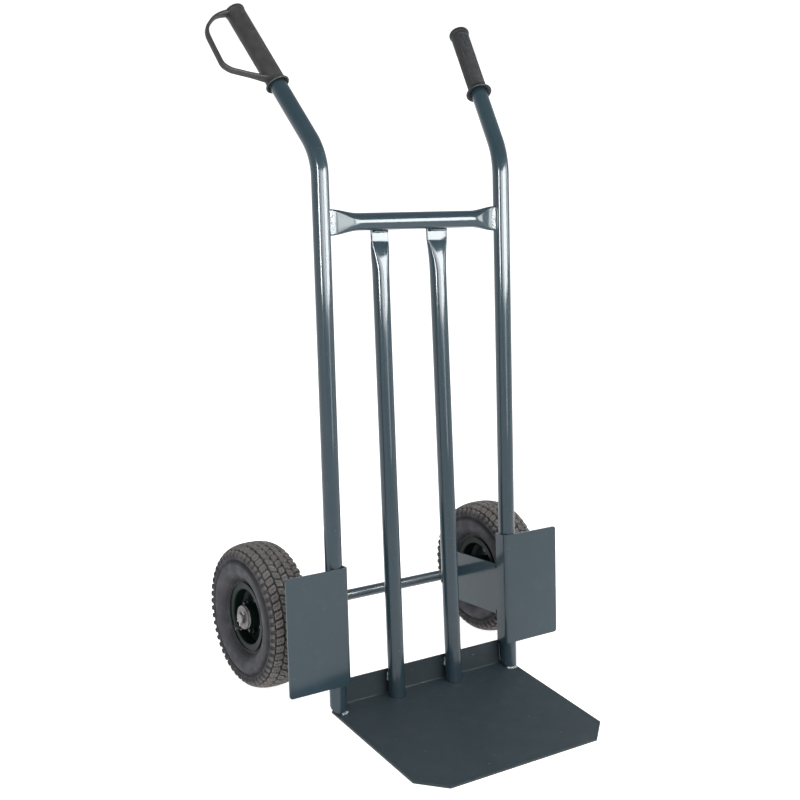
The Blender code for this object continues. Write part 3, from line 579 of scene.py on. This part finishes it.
def bead(name, points, radius, seed, look="weld"):
    """A rippled weld bead along a path, with tapered ends."""
    chance = random.Random(seed)
    path = refined([Vector(point) for point in points], 0.0006)
    lengths = [0.0]
    for before, after in zip(path, path[1:]):
        lengths.append(lengths[-1] + (after - before).length)
    total = lengths[-1]
    wander = [chance.uniform(-1, 1) for _ in range(10)]

    def radius_at(index, share):
        wave = 1.0 - 0.20 * abs(math.sin(math.pi * lengths[index] / WELD_RIPPLE))
        end = min(lengths[index], total - lengths[index]) / radius
        taper = math.sqrt(max(0.02, 1.0 - max(0.0, 1.0 - end) ** 2))
        step, part = divmod(share * 8, 1)
        drift = wander[int(step)] * (1 - part) + wander[int(step) + 1] * part
        return radius * wave * taper * (1.0 + 0.16 * drift)

    form = grid(tube_rings(path, radius_at, 12, Vector((0.3, 0.5, 0.8))), caps=True)
    for vert in form.verts:
        vert.co += Vector([chance.uniform(-1, 1) for _ in range(3)]) * radius * 0.035
    add_piece(name, to_mesh(name, form, flat_above=math.radians(70)), "frame", "frame_paint",
              look=look)


def leaning_bead(name, points, radius, seed, look="weld"):
    bead(name, [LEAN @ Vector(point) for point in points], radius, seed, look)


def weld_patch(name, centre, across, up, width, height, seed):
    """A lumpy, half ground weld that covers a patch of a flat face."""
    out = across.cross(up).normalized()
    columns, rows = 22, 44
    top, base = [], []
    for row in range(rows + 1):
        for column in range(columns + 1):
            u = 2 * column / columns - 1
            v = 2 * row / rows - 1
            wander = noise.noise(Vector((v * 3.1, seed * 1.7, 0.0))) * 0.16 * (1 if u > 0 else 0)
            place = centre + across * (u * (1 + wander) * width / 2) + up * v * height / 2
            rim = max(0.0, 1 - abs(u) ** 4) * max(0.0, 1 - abs(v) ** 6)
            spot = Vector((u * width, v * height, 0.0)) * 190 + Vector((seed, seed, seed))
            lump = 0.55 + 0.9 * noise.noise(spot) + 0.35 * noise.noise(spot * 2.3)
            ripple = 0.25 * abs(math.sin(math.pi * (v * height / 2 + u * u * 0.002) / WELD_RIPPLE))
            top.append(place + out * (0.0014 * rim * max(0.1, lump - ripple)))
            base.append(place - out * 0.0006)
    form = bmesh.new()
    upper = [form.verts.new(place) for place in top]
    lower = [form.verts.new(place) for place in base]
    wide = columns + 1
    for row in range(rows):
        for column in range(columns):
            corner = row * wide + column
            ring = (corner, corner + 1, corner + wide + 1, corner + wide)
            form.faces.new([upper[index] for index in ring])
            form.faces.new([lower[index] for index in ring[::-1]])
    edge = ([index for index in range(columns)]
            + [row * wide + columns for row in range(rows)]
            + [rows * wide + index for index in range(columns, 0, -1)]
            + [row * wide for row in range(rows, 0, -1)])
    for first, second in zip(edge, edge[1:] + edge[:1]):
        form.faces.new((upper[second], upper[first], lower[first], lower[second]))
    add_piece(name, to_mesh(name, form, flat_above=math.radians(80)), "frame", "frame_paint",
              look="weld")


def arc_points(centre, first, second, radius, start, end, steps=24):
    """Points of an arc between two angles in degrees, from first towards second."""
    points = []
    for index in range(steps + 1):
        angle = math.radians(start + (end - start) * index / steps)
        points.append(centre + first * radius * math.cos(angle)
                      + second * radius * math.sin(angle))
    return points


def welds():
    x_axis, y_axis, z_axis = Vector((1, 0, 0)), Vector((0, 1, 0)), Vector((0, 0, 1))
    half_flat = FLAT_THICKNESS / 2
    for word, side in SIDES:
        # both faces of the pressed bar ends, where they meet the rails
        width = BAR_WELD_WIDTH[side]
        spot = side * (RAIL_X - TUBE_RADIUS - width / 2 + 0.0012)
        outward = side * x_axis
        for face, depth in ((-1, -half_flat), (1, half_flat)):
            centre = LEAN @ Vector((spot, depth, CROSSBAR_UP))
            up = LEAN @ z_axis
            across = outward if side * face > 0 else -outward
            if (across.cross(up).y > 0) != (face > 0):
                up = -up
            weld_patch("%s_bar_weld_%d" % (word, face + 1), centre, across, up, width, 0.040,
                       3.0 + side + face)
        # tabs of the middle tubes, under and over the bar
        tab_x = side * MIDDLE_TOP_X + MIDDLE_SHIFT
        reach = TAB_WELD_REACH[side]
        low = CROSSBAR_UP - TUBE_RADIUS - 0.0020
        line = [(tab_x + along, TUBE_RADIUS - 0.0030, low) for along in (-reach, 0.0, reach)]
        leaning_bead(word + "_tab_weld_low", line, 0.0026, 23 + side, "frame_paint")
        line = [(tab_x + along, TUBE_RADIUS + 0.0012, CROSSBAR_UP + 0.0075)
                for along in (-reach, 0.0, reach)]
        leaning_bead(word + "_tab_weld_high", line, 0.0026, 29 + side)
        # middle tube against the plate's upstand
        for edge in (-1, 1):
            foot_x = side * MIDDLE_BOTTOM_X + MIDDLE_SHIFT + edge * (TUBE_RADIUS - 0.0042)
            line = [(foot_x, TUBE_RADIUS - 0.0042, up) for up in (0.030, 0.0465)]
            leaning_bead("%s_middle_weld_%d" % (word, edge + 1), line, 0.0027, 37 + side * edge)
        # rail foot on the plate, in front
        centre = Vector((side * RAIL_X, 0.0, PLATE_THICKNESS + 0.0008))
        points = arc_points(centre, x_axis, y_axis, TUBE_RADIUS + 0.0004, 205, 335)
        first, last = (10, 22) if side < 0 else (2, 20)
        bead(word + "_foot_weld", points[first:last], 0.0028, 41 + side)
        # rail against the end of the upstand
        line = [(side * (RAIL_X - TUBE_RADIUS + 0.0020), TUBE_RADIUS - 0.0035, up)
                for up in (0.012, 0.046)]
        leaning_bead(word + "_upstand_weld", line, 0.0024, 43 + side, "frame_paint")
        # cheek on the axle, on the truck's inner side
        centre = Vector((side * (RAIL_X - TUBE_RADIUS - GAP - 0.0032), AXLE_Y, WHEEL_RADIUS))
        ring = arc_points(centre, y_axis, z_axis, 0.0112, -60, 215, 40)
        bead(word + "_axle_weld", ring, 0.0022, 47 + side)
        # two short seams between the guard and the rail's outer side
        for place, span, seed in (("low", (0.070, 0.100), 53), ("high", (0.212, 0.242), 59)):
            line = [(side * (RAIL_X + 0.0095), -TUBE_RADIUS + 0.0030, up) for up in span]
            leaning_bead("%s_guard_weld_%s" % (word, place), line, 0.0026, seed + side,
                         "frame_paint")


# ---- wheels

BLOCKS = 52
BLOCK_ROWS = 5
ROW_PITCH = 0.0134
STEPS_PER_BLOCK = 10
TYRE_SPACING = 0.0016
LUG_DEPTH = 0.0042
RIM_CORNER = 0.0016
VALVE_RISE = 0.014


def superellipse(low, high, waist, reach, power, start, end, steps):
    points = []
    for index in range(steps + 1):
        angle = start + (end - start) * index / steps
        cosine, sine = math.cos(angle), math.sin(angle)
        across = math.copysign(abs(cosine) ** (2 / power), cosine) * reach
        rise = high - waist if sine >= 0 else waist - low
        points.append((waist + math.copysign(abs(sine) ** (2 / power), sine) * rise, across))
    return points


def carcass_profile():
    """Half of the tyre's outside, bead to crown, as (radius, height) without its tread."""
    bead_half = RIM_HALF_WIDTH - RIM_SHEET / 2 - GAP
    seat = RIM_BARREL + RIM_SHEET / 2 + 0.0006
    points = [(seat, bead_half - 0.004), (seat + 0.0045, bead_half),
              (RIM_FLANGE + 0.0008, bead_half)]
    flank = superellipse(RIM_FLANGE, CROWN_RADIUS, WAIST_RADIUS, TYRE_HALF_WIDTH - 0.0006,
                         TYRE_POWER, -1.05, math.pi / 2, 150)
    points += [point for point in flank if point[1] > bead_half and point[0] > RIM_FLANGE + 0.001]
    points += [point for point in flank if point[1] <= bead_half and point[0] > 0.11]
    return points


def resample(points, spacing):
    out = [points[0]]
    for before, after in zip(points, points[1:]):
        span = math.hypot(after[0] - before[0], after[1] - before[1])
        count = max(1, math.ceil(span / spacing))
        for index in range(1, count + 1):
            share = index / count
            out.append((before[0] + (after[0] - before[0]) * share,
                        before[1] + (after[1] - before[1]) * share))
    return out


def step_up(value, edge, width):
    value = np.clip((value - edge) / width + 0.5, 0.0, 1.0)
    return value * value * (3.0 - 2.0 * value)


def tread_height(across, turn, radius):
    """How far the rubber stands out at a place; turn counts blocks round the tyre."""
    row = np.floor(across / ROW_PITCH + BLOCK_ROWS / 2)
    row = np.clip(row, 0, BLOCK_ROWS - 1)
    middle = (row - (BLOCK_ROWS - 1) / 2) * ROW_PITCH
    sideways = (across - middle) / ROW_PITCH
    slant = 0.34 * sideways * np.where(row % 2 == 0, 1.0, -1.0)
    along = (turn + (row % 2) * 0.5 + slant) % 1.0 - 0.5
    # blocks with clipped corners: the size mixes a square and a diamond
    square = np.maximum(np.abs(along), np.abs(sideways)) / 0.50
    diamond = (np.abs(along) + np.abs(sideways)) / 0.86
    block = 1.0 - step_up(np.maximum(square, diamond), 0.84, 0.15)
    notch = 1.0 - 0.55 * np.exp(-(along / 0.06) ** 2) * (np.abs(sideways) < 0.24)
    limit = BLOCK_ROWS * ROW_PITCH / 2
    inside = (1.0 - step_up(np.abs(across), limit, 0.002)) * (radius > 0.105)
    height = TREAD_DEPTH * block * notch * inside
    # one lug for each block on the shoulder, fading down the side
    lug_along = np.abs((turn + np.where(across > 0, 0.0, 0.5)) % 1.0 - 0.5)
    lug = 1.0 - step_up(lug_along, 0.29, 0.14)
    zone = step_up(np.abs(across), limit + 0.0003, 0.0016) * step_up(radius, 0.1100, 0.005)
    return height + LUG_DEPTH * lug * zone


def tyre(word, side):
    half = resample(carcass_profile(), TYRE_SPACING)
    upper = [point for point in half if point[1] > 0.0003]
    profile = upper + [(CROWN_RADIUS, 0.0)] + [(radius, -height) for radius, height in upper[::-1]]
    data = np.array(profile)
    radius, across = data[:, 0], data[:, 1]
    # moulded rings on the sidewall
    rings = (0.0007 * np.exp(-((radius - 0.0720) / 0.0012) ** 2)
             - 0.0036 * np.exp(-((radius - 0.1020) / 0.0034) ** 2)
             - 0.0012 * (radius > 0.1020)
             - 0.0008 * np.exp(-((radius - 0.0665) / 0.0012) ** 2))
    on_side = (np.abs(across) > 0.026) & (radius < 0.115)
    across = across + np.sign(across) * rings * on_side
    tangent = np.gradient(data, axis=0)
    normal = np.stack([tangent[:, 1], -tangent[:, 0]], axis=1)
    normal /= np.linalg.norm(normal, axis=1)[:, None]
    normal *= np.sign(normal[:, 0] * (radius - 0.09) + normal[:, 1] * across)[:, None]
    steps = BLOCKS * STEPS_PER_BLOCK
    turn = np.arange(steps) / STEPS_PER_BLOCK
    turns, acrosses = np.meshgrid(turn, across, indexing="ij")
    radii = np.broadcast_to(radius, turns.shape)
    lift = tread_height(acrosses, turns, radii)
    full_radius = np.minimum(radii + normal[:, 0] * lift, WHEEL_RADIUS)
    full_across = np.clip(acrosses + normal[:, 1] * lift, -TYRE_HALF_WIDTH, TYRE_HALF_WIDTH)
    angle = 2 * math.pi * turns / BLOCKS
    points = np.stack([full_across, full_radius * np.cos(angle), full_radius * np.sin(angle)],
                      axis=2)
    inner = superellipse(RIM_BARREL + 0.0106, WHEEL_RADIUS - 0.009, WAIST_RADIUS,
                         TYRE_HALF_WIDTH - 0.006, 2.4, -0.95, math.pi / 2, 16)
    lining = np.array(inner + [(height, -place) for height, place in inner[-2::-1]])[::-1]
    flat = lining[:, 0][None, :]
    lining_points = np.stack([np.broadcast_to(lining[:, 1], (steps, len(lining))),
                              flat * np.cos(angle[:, :1]), flat * np.sin(angle[:, :1])], axis=2)
    ring = np.concatenate([points, lining_points], axis=1)
    count = ring.shape[1]
    verts = ring.reshape(-1, 3)
    row, place = np.meshgrid(np.arange(steps), np.arange(count), indexing="ij")
    next_row, next_place = (row + 1) % steps, (place + 1) % count
    faces = np.stack([row * count + place, next_row * count + place,
                      next_row * count + next_place, row * count + next_place], axis=2)
    mesh = bpy.data.meshes.new(word + "_tyre_tread")
    mesh.from_pydata(verts.tolist(), [], faces.reshape(-1, 4).tolist())
    form = bmesh.new()
    form.from_mesh(mesh)
    bpy.data.meshes.remove(mesh)
    mesh = to_mesh(word + "_tyre_tread", form, flat_above=math.radians(60))
    add_piece(word + "_tyre_tread", mesh, word + "_wheel", "tyre_rubber", [word + "_tyre"],
              place=(side * TRACK_HALF, AXLE_Y, WHEEL_RADIUS))


def wheel_frame(side):
    """Wheel space: Z points away from the truck."""
    turn = Matrix.Rotation(side * math.pi / 2, 4, "Y")
    return Matrix.Translation((side * TRACK_HALF, AXLE_Y, WHEEL_RADIUS)) @ turn


def rod(radius, low, high, segments, chamfer):
    """A rod along Z with both ends chamfered."""
    profile = [(0.0, low), (radius - chamfer, low), (radius, low + chamfer),
               (radius, high - chamfer), (radius - chamfer, high), (0.0, high)]
    return turned(profile, segments, closed=False)


def hexagon(low, high, reach=0.0075):
    """A hexagonal prism with domed corners, as on a bolt head or a nut."""
    form = bmesh.new()
    bmesh.ops.create_cone(form, cap_ends=True, segments=6, radius1=reach, radius2=reach,
                          depth=high - low)
    bmesh.ops.translate(form, vec=(0, 0, (low + high) / 2), verts=form.verts)
    ends = [edge for edge in form.edges
            if abs(edge.verts[0].co.z - edge.verts[1].co.z) < 1e-6]
    bmesh.ops.bevel(form, geom=ends, offset=0.0007, segments=2, affect="EDGES", profile=0.6)
    return form


def rim_half(word, side, name, direction):
    web = RIM_SPLIT + direction * (RIM_SHEET / 2 + GAP / 2)
    edge = direction * RIM_HALF_WIDTH
    middle = [(HUB_RADIUS + GAP, web), (RIM_BARREL - 0.007, web),
              (RIM_BARREL, web + direction * 0.006), (RIM_BARREL, edge),
              (RIM_FLANGE - 0.0012, edge),
              (RIM_FLANGE - 0.0012, edge + direction * 0.0030)]
    profile = sheet_profile(middle, RIM_SHEET, RIM_CORNER, 4)
    form = turned(profile, 96)
    moved(form, wheel_frame(side))
    mesh = to_mesh(word + name, form, flat_above=math.radians(50))
    add_piece("%s_%s_dish" % (word, name), mesh, word + "_wheel", "rim_paint",
              ["%s_%s" % (word, name)])


def fasteners(word, side):
    frame_of_wheel = wheel_frame(side)
    inside = RIM_SPLIT - RIM_SHEET - GAP / 2 - GAP
    outside = RIM_SPLIT + RIM_SHEET + GAP / 2 + GAP
    for index in range(BOLT_COUNT):
        angle = BOLT_TURN + 2 * math.pi * index / BOLT_COUNT
        spot = Matrix.Translation((BOLT_CIRCLE * math.cos(angle),
                                   BOLT_CIRCLE * math.sin(angle), 0.0))
        twist = Matrix.Rotation(0.4 + index * 1.3, 4, "Z")
        head = hexagon(inside - 0.0053, inside)
        shank = rod(0.0040, inside - 0.001, inside + 0.0175, 20, 0.0006)
        nut = hexagon(outside, outside + 0.0065)
        for form in (head, shank, nut):
            moved(form, frame_of_wheel @ spot @ twist)
        for kind, mesh in (("bolt", to_mesh("bolt", head, shank)), ("nut", to_mesh("nut", nut))):
            add_piece("%s_%s_%d" % (word, kind, index + 1), mesh, word + "_wheel", "zinc",
                      ["%s_rim_%s_%d" % (word, kind, index + 1)], "dark_zinc")


def valve(word, side):
    turn = wheel_frame(side) @ Matrix.Rotation(VALVE_ANGLE, 4, "Z")
    run = rounded_path([Vector((0.0605, 0, VALVE_PLACE)), Vector((VALVE_RADIUS, 0, VALVE_PLACE)),
                        Vector((VALVE_RADIUS, 0, VALVE_PLACE + VALVE_RISE))], 0.006, 10)
    run = refined(run, 0.001)

    def radius_at(index, share):
        return 0.0033 - 0.0003 * math.cos(share * 40.0)

    stem = grid(tube_rings(run, radius_at, 20, (0, 1, 0)), caps=True)
    moved(stem, turn)
    add_piece(word + "_valve", to_mesh("valve", stem), word + "_wheel", "valve_rubber",
              [word + "_valve_stem"])
    top = VALVE_PLACE + VALVE_RISE + GAP
    profile = [(0.0, top), (0.0038, top), (0.0042, top + 0.0005)]
    profile += [(0.0042 - 0.0003 * (index % 2), top + 0.001 + index * 0.0008) for index in range(8)]
    profile += [(0.0036, top + 0.0082), (0.0028, top + 0.0090), (0.0, top + 0.0090)]
    cap = turned(profile, 24, closed=False)
    place = turn @ Matrix.Translation((VALVE_RADIUS, 0, 0))
    moved(cap, place)
    add_piece(word + "_valve_top", to_mesh("valve_top", cap), word + "_wheel", "valve_rubber",
              [word + "_valve_cap"])
    ring = turned([(0.0034, top - 0.0036), (0.0043, top - 0.0032), (0.0043, top - 0.0012),
                   (0.0034, top - 0.0008)], 24)
    moved(ring, place)
    add_piece(word + "_valve_ring", to_mesh("valve_ring", ring), word + "_wheel", "zinc",
              look="pin_steel")


# ---- grips

def handle_frame(side):
    along = handle_direction(side)
    out = Vector((side, 0.0, 0.0))
    out = (out - along * out.dot(along)).normalized()
    third = along.cross(out)
    made = Matrix((out, third, along)).transposed().to_4x4()
    made.translation = bend_point(side) + along * GRIP_START
    return made


def sleeve(length, collar, bulge, ribs):
    """Grip sleeve about Z: cupped collar, fine ribs if asked for, and a beaded end cap."""
    bore = TUBE_RADIUS + GAP
    bore_end = HANDLE_LENGTH - GRIP_START + GAP
    profile = [(bore, 0.0044), (bore + 0.0016, 0.0030), (collar - 0.0022, 0.0001),
               (collar - 0.0006, 0.0002), (collar, 0.0009), (collar, 0.0021),
               (collar - 0.0009, 0.0030), (GRIP_RADIUS + 0.0018, 0.0058),
               (GRIP_RADIUS + 0.0005, 0.0080), (GRIP_RADIUS, 0.0105)]
    low, high = 0.013, length - 0.0150
    count = int((high - low) / 0.0032)
    for index in range(count):
        place = low + (high - low) * index / count
        if ribs:
            profile += [(GRIP_RADIUS + 0.0001, place), (GRIP_RADIUS - 0.0005, place + 0.0008),
                        (GRIP_RADIUS + 0.0001, place + 0.0016)]
        else:
            profile.append((GRIP_RADIUS, place))
    cap = GRIP_RADIUS + bulge
    profile += [(GRIP_RADIUS, length - 0.0125), (cap - 0.0004, length - 0.0095),
                (cap, length - 0.0082), (cap, length - 0.0050), (cap - 0.0008, length - 0.0034),
                (cap - 0.0022, length - 0.0024), (cap - 0.0038, length - 0.0024),
                (GRIP_RADIUS * 0.60, length - 0.0012), (GRIP_RADIUS * 0.3, length - 0.0008),
                (0.0, length - 0.0007), (0.0, bore_end), (bore, bore_end)]
    return turned(profile, 72)


def strap(length):
    """The knuckle strap: a rounded, ridged band swept along a smooth D."""
    corners = [Vector((0.010, 0.0, 0.0135)), Vector((STRAP_REACH - 0.010, 0.0, 0.040)),
               Vector((STRAP_REACH, 0.0, 0.052)), Vector((STRAP_REACH - 0.005, 0.0, 0.130)),
               Vector((STRAP_REACH - 0.040, 0.0, length - 0.0125)),
               Vector((0.008, 0.0, length - 0.0070))]
    path = [corners[0]]
    for before, corner, after in zip(corners, corners[1:], corners[2:]):
        back = (before - corner).normalized()
        ahead = (after - corner).normalized()
        reach = min((before - corner).length, (after - corner).length) * 0.45
        for step in range(9):
            share = step / 8
            first = corner + back * reach * (1 - share)
            second = corner + ahead * reach * share
            path.append(first.lerp(second, share))
    path.append(corners[-1])
    path = refined(path, 0.004)
    rings = []
    y_axis = Vector((0, 1, 0))
    for index, place in enumerate(path):
        before = path[max(index - 1, 0)]
        after = path[min(index + 1, len(path) - 1)]
        along = (after - before).normalized()
        across = Vector((along.z, 0.0, -along.x))
        root = smoothstep(1.0 - (place.x - 0.010) / 0.034)
        half = 0.00325 + 0.0016 * root * (1.0 if place.z > length / 2 else 0.35)
        width = 0.0060 + 0.0022 * root
        ring = []
        for step in range(28):
            angle = 2 * math.pi * step / 28
            cosine, sine = math.cos(angle), math.sin(angle)
            wide = math.copysign(abs(cosine) ** 0.62, cosine) * width
            deep = math.copysign(abs(sine) ** 0.62, sine) * half
            ridge = 0.0006 * math.exp(-(wide / 0.0016) ** 2) * (1 if sine > 0 else -1)
            ring.append(place + y_axis * wide + across * (deep * 0.82 + ridge * 0.5))
        rings.append(ring)
    return grid(rings, caps=True)


def grips():
    for word, side in SIDES:
        length = GRIP_END[side] - GRIP_START
        forms = [sleeve(length, COLLAR_RADIUS[side], CAP_BEAD[side], side > 0)]
        if side < 0:
            forms.append(strap(length))
        for form in forms:
            moved(form, handle_frame(side))
        add_piece(word + "_handle_grip", to_mesh("grip", *forms), "frame", "grip_rubber",
                  [word + "_grip"], None if side < 0 else "right_grip_rubber")


# ---- kept CAD nodes

def shading_group(angle):
    """Node group: merge the solid's corners and shade it smooth but for its sharp edges."""
    group = bpy.data.node_groups.new("soft_shading", "GeometryNodeTree")
    group.interface.new_socket("Geometry", in_out="INPUT", socket_type="NodeSocketGeometry")
    group.interface.new_socket("Geometry", in_out="OUTPUT", socket_type="NodeSocketGeometry")
    start, end, merge, faces, edges, angles, over = [group.nodes.new(kind) for kind in (
        "NodeGroupInput", "NodeGroupOutput", "GeometryNodeMergeByDistance",
        "GeometryNodeSetShadeSmooth", "GeometryNodeSetShadeSmooth",
        "GeometryNodeInputMeshEdgeAngle", "FunctionNodeCompare")]
    merge.inputs["Distance"].default_value = MERGE
    edges.domain = "EDGE"
    edges.inputs["Shade Smooth"].default_value = False
    over.data_type = "FLOAT"
    over.operation = "GREATER_THAN"
    over.inputs[1].default_value = angle
    chain = [(start.outputs[0], merge.inputs["Geometry"]),
             (merge.outputs["Geometry"], faces.inputs["Geometry"]),
             (faces.outputs["Geometry"], edges.inputs["Geometry"]),
             (edges.outputs["Geometry"], end.inputs[0]),
             (angles.outputs["Unsigned Angle"], over.inputs[0]),
             (over.outputs["Result"], edges.inputs["Selection"])]
    for output, target in chain:
        group.links.new(output, target)
    return group


def keep_cad_nodes():
    group = shading_group(math.radians(30))
    slots = {entry["node"]: entry["material_slot"] for entry in frame["record"]["subparts"]}
    rounded = {"toe_plate": 0.0008, "guard_bracket": 0.0009, "outer_washer": 0.0004,
               "inner_washer": 0.0004, "hub": 0.0005, "axle_spacer": 0.0004}
    for name, node in frame["nodes"].items():
        node.data.materials.clear()
        node.data.materials.append(LOOKS[slots[name]])
        shade = node.modifiers.new("shading", "NODES")
        shade.node_group = group
        for ending, width in rounded.items():
            if name.endswith(ending):
                bevel = node.modifiers.new("edges", "BEVEL")
                bevel.width = width
                bevel.segments = 3
                bevel.limit_method = "ANGLE"
                bevel.angle_limit = math.radians(40)
                bevel.harden_normals = True


# ---- stage

CAMERA_PLACE = (-1.29158, -1.68768, 1.13463)
CAMERA_AZIMUTH = -0.6127
CAMERA_ELEVATION = 0.2722
CAMERA_ROLL = 0.0684
CAMERA_LENS = 57.946
FLOOR_RADIUS = 120.0


def area_light(name, place, aim, width, height, power, colour=(1.0, 1.0, 1.0)):
    """A rectangular lamp at a place, turned to face another."""
    data = bpy.data.lights.new(name, "AREA")
    data.shape = "RECTANGLE"
    data.size = width
    data.size_y = height
    data.energy = power
    data.color = colour
    made = linked(name, data, place)
    made.rotation_euler = (Vector(aim) - Vector(place)).to_track_quat("-Z", "Y").to_euler()
    return made


def around(angle, distance, height):
    """A place at an angle in degrees from straight in front, positive to the right."""
    turn = math.radians(angle)
    return (math.sin(turn) * distance, -math.cos(turn) * distance, height)


def stage():
    form = bmesh.new()
    bmesh.ops.create_circle(form, cap_ends=True, segments=96, radius=FLOOR_RADIUS)
    mesh = to_mesh("floor", form)
    floor = linked("floor", mesh, (0.0, 0.0, -0.0006))
    look = Look("floor_white", 0.8)
    look.shader.inputs["Specular IOR Level"].default_value = 0.1
    look.finish(look.mix(look.noise(0.7, 2.0), (0.74, 0.74, 0.74), (0.77, 0.77, 0.77)))
    look.shader.inputs["Emission Color"].default_value = (1.0, 1.0, 1.0, 1.0)
    look.shader.inputs["Emission Strength"].default_value = 0.90
    mesh.materials.append(look.material)

    sky()

    # seen only as reflections: panels near the truck and a broad dim one behind the camera
    softbox("right_softbox", (0.38, -0.71, 1.04), (0.0, 0.0, 0.96), 0.78, 0.50, 24.0)
    softbox("middle_panel", (-0.22, -0.86, 1.04), (-0.05, 0.0, 0.96), 0.44, 0.50, 7.0)
    softbox("right_low_panel", (0.16, -0.82, 0.62), (0.0, 0.0, 0.60), 0.26, 0.34, 4.0)
    softbox("left_strip", (-1.10, -0.50, 1.04), (0.0, 0.0, 0.96), 0.18, 0.54, 62.0)
    softbox("far_right_panel", (0.95, -0.35, 1.04), (0.1, 0.0, 0.96), 0.26, 0.46, 10.0)
    softbox("front_panel", (-0.85, -2.60, 1.45), (0.0, 0.0, 0.9), 2.2, 0.8, 7.0)
    # felt only as soft light
    for name, angle, height, size, power in (("key_fill", 10.0, 2.0, 1.6, 16.0),
                                             ("left_fill", -85.0, 1.4, 1.2, 4.0),
                                             ("back_fill", 160.0, 2.0, 1.6, 14.0)):
        made = area_light(name, around(angle, 2.6, height), (0.0, 0.1, 0.5), size, size, power)
        made.visible_glossy = False
    top = area_light("top_fill", (0.1, -0.5, 3.4), (0.0, 0.0, 0.0), 2.6, 2.6, 45.0)
    top.visible_glossy = False


def softbox(name, place, aim, width, height, radiance):
    power = radiance * math.pi * width * height
    made = area_light(name, place, aim, width, height, power, (0.96, 0.99, 1.0))
    made.visible_diffuse = False
    made.visible_camera = False


def sky():
    """White to the camera; for everything else pale at the horizon and dim overhead."""
    world = bpy.data.worlds.new("studio")
    bpy.context.scene.world = world
    world.use_nodes = True
    tree = world.node_tree
    lit = tree.nodes["Background"]
    seen = tree.nodes.new("ShaderNodeBackground")
    seen.inputs["Color"].default_value = (1.0, 1.0, 1.0, 1.0)
    seen.inputs["Strength"].default_value = 1.05
    place = tree.nodes.new("ShaderNodeTexCoord")
    split = tree.nodes.new("ShaderNodeSeparateXYZ")
    fall = tree.nodes.new("ShaderNodeMapRange")
    for key, number in (("From Min", 0.10), ("From Max", 0.60), ("To Min", 0.80), ("To Max", 0.42)):
        fall.inputs[key].default_value = number
    path = tree.nodes.new("ShaderNodeLightPath")
    blend = tree.nodes.new("ShaderNodeMixShader")
    lit.inputs["Color"].default_value = (0.96, 0.985, 1.0, 1.0)
    for output, target in ((place.outputs["Generated"], split.inputs[0]),
                           (split.outputs["Z"], fall.inputs["Value"]),
                           (fall.outputs["Result"], lit.inputs["Strength"]),
                           (path.outputs["Is Camera Ray"], blend.inputs[0]),
                           (lit.outputs[0], blend.inputs[1]), (seen.outputs[0], blend.inputs[2]),
                           (blend.outputs[0], tree.nodes["World Output"].inputs[0])):
        tree.links.new(output, target)


def camera():
    level = math.cos(CAMERA_ELEVATION)
    forward = Vector((-math.sin(CAMERA_AZIMUTH) * level, math.cos(CAMERA_AZIMUTH) * level,
                      -math.sin(CAMERA_ELEVATION)))
    right = forward.cross(Vector((0, 0, 1))).normalized()
    up = right.cross(forward)
    turned_right = right * math.cos(CAMERA_ROLL) + up * math.sin(CAMERA_ROLL)
    turned_up = up * math.cos(CAMERA_ROLL) - right * math.sin(CAMERA_ROLL)
    data = bpy.data.cameras.new("camera")
    data.sensor_width = 36.0
    data.lens = CAMERA_LENS
    made = linked("camera", data)
    basis = Matrix((turned_right, turned_up, -forward)).transposed().to_4x4()
    basis.translation = CAMERA_PLACE
    made.matrix_world = basis
    bpy.context.scene.camera = made


def build():
    camera()
    stage()
    keep_cad_nodes()
    crossbar()
    for word, side in SIDES:
        rail(word, side)
        middle_tube(word, side)
        tyre(word, side)
        rim_half(word, side, "rim_outer", 1)
        rim_half(word, side, "rim_inner", -1)
        fasteners(word, side)
        valve(word, side)
    welds()
    grips()
    bpy.context.scene.view_settings.view_transform = "Standard"


build()
bpy.context.view_layer.update()
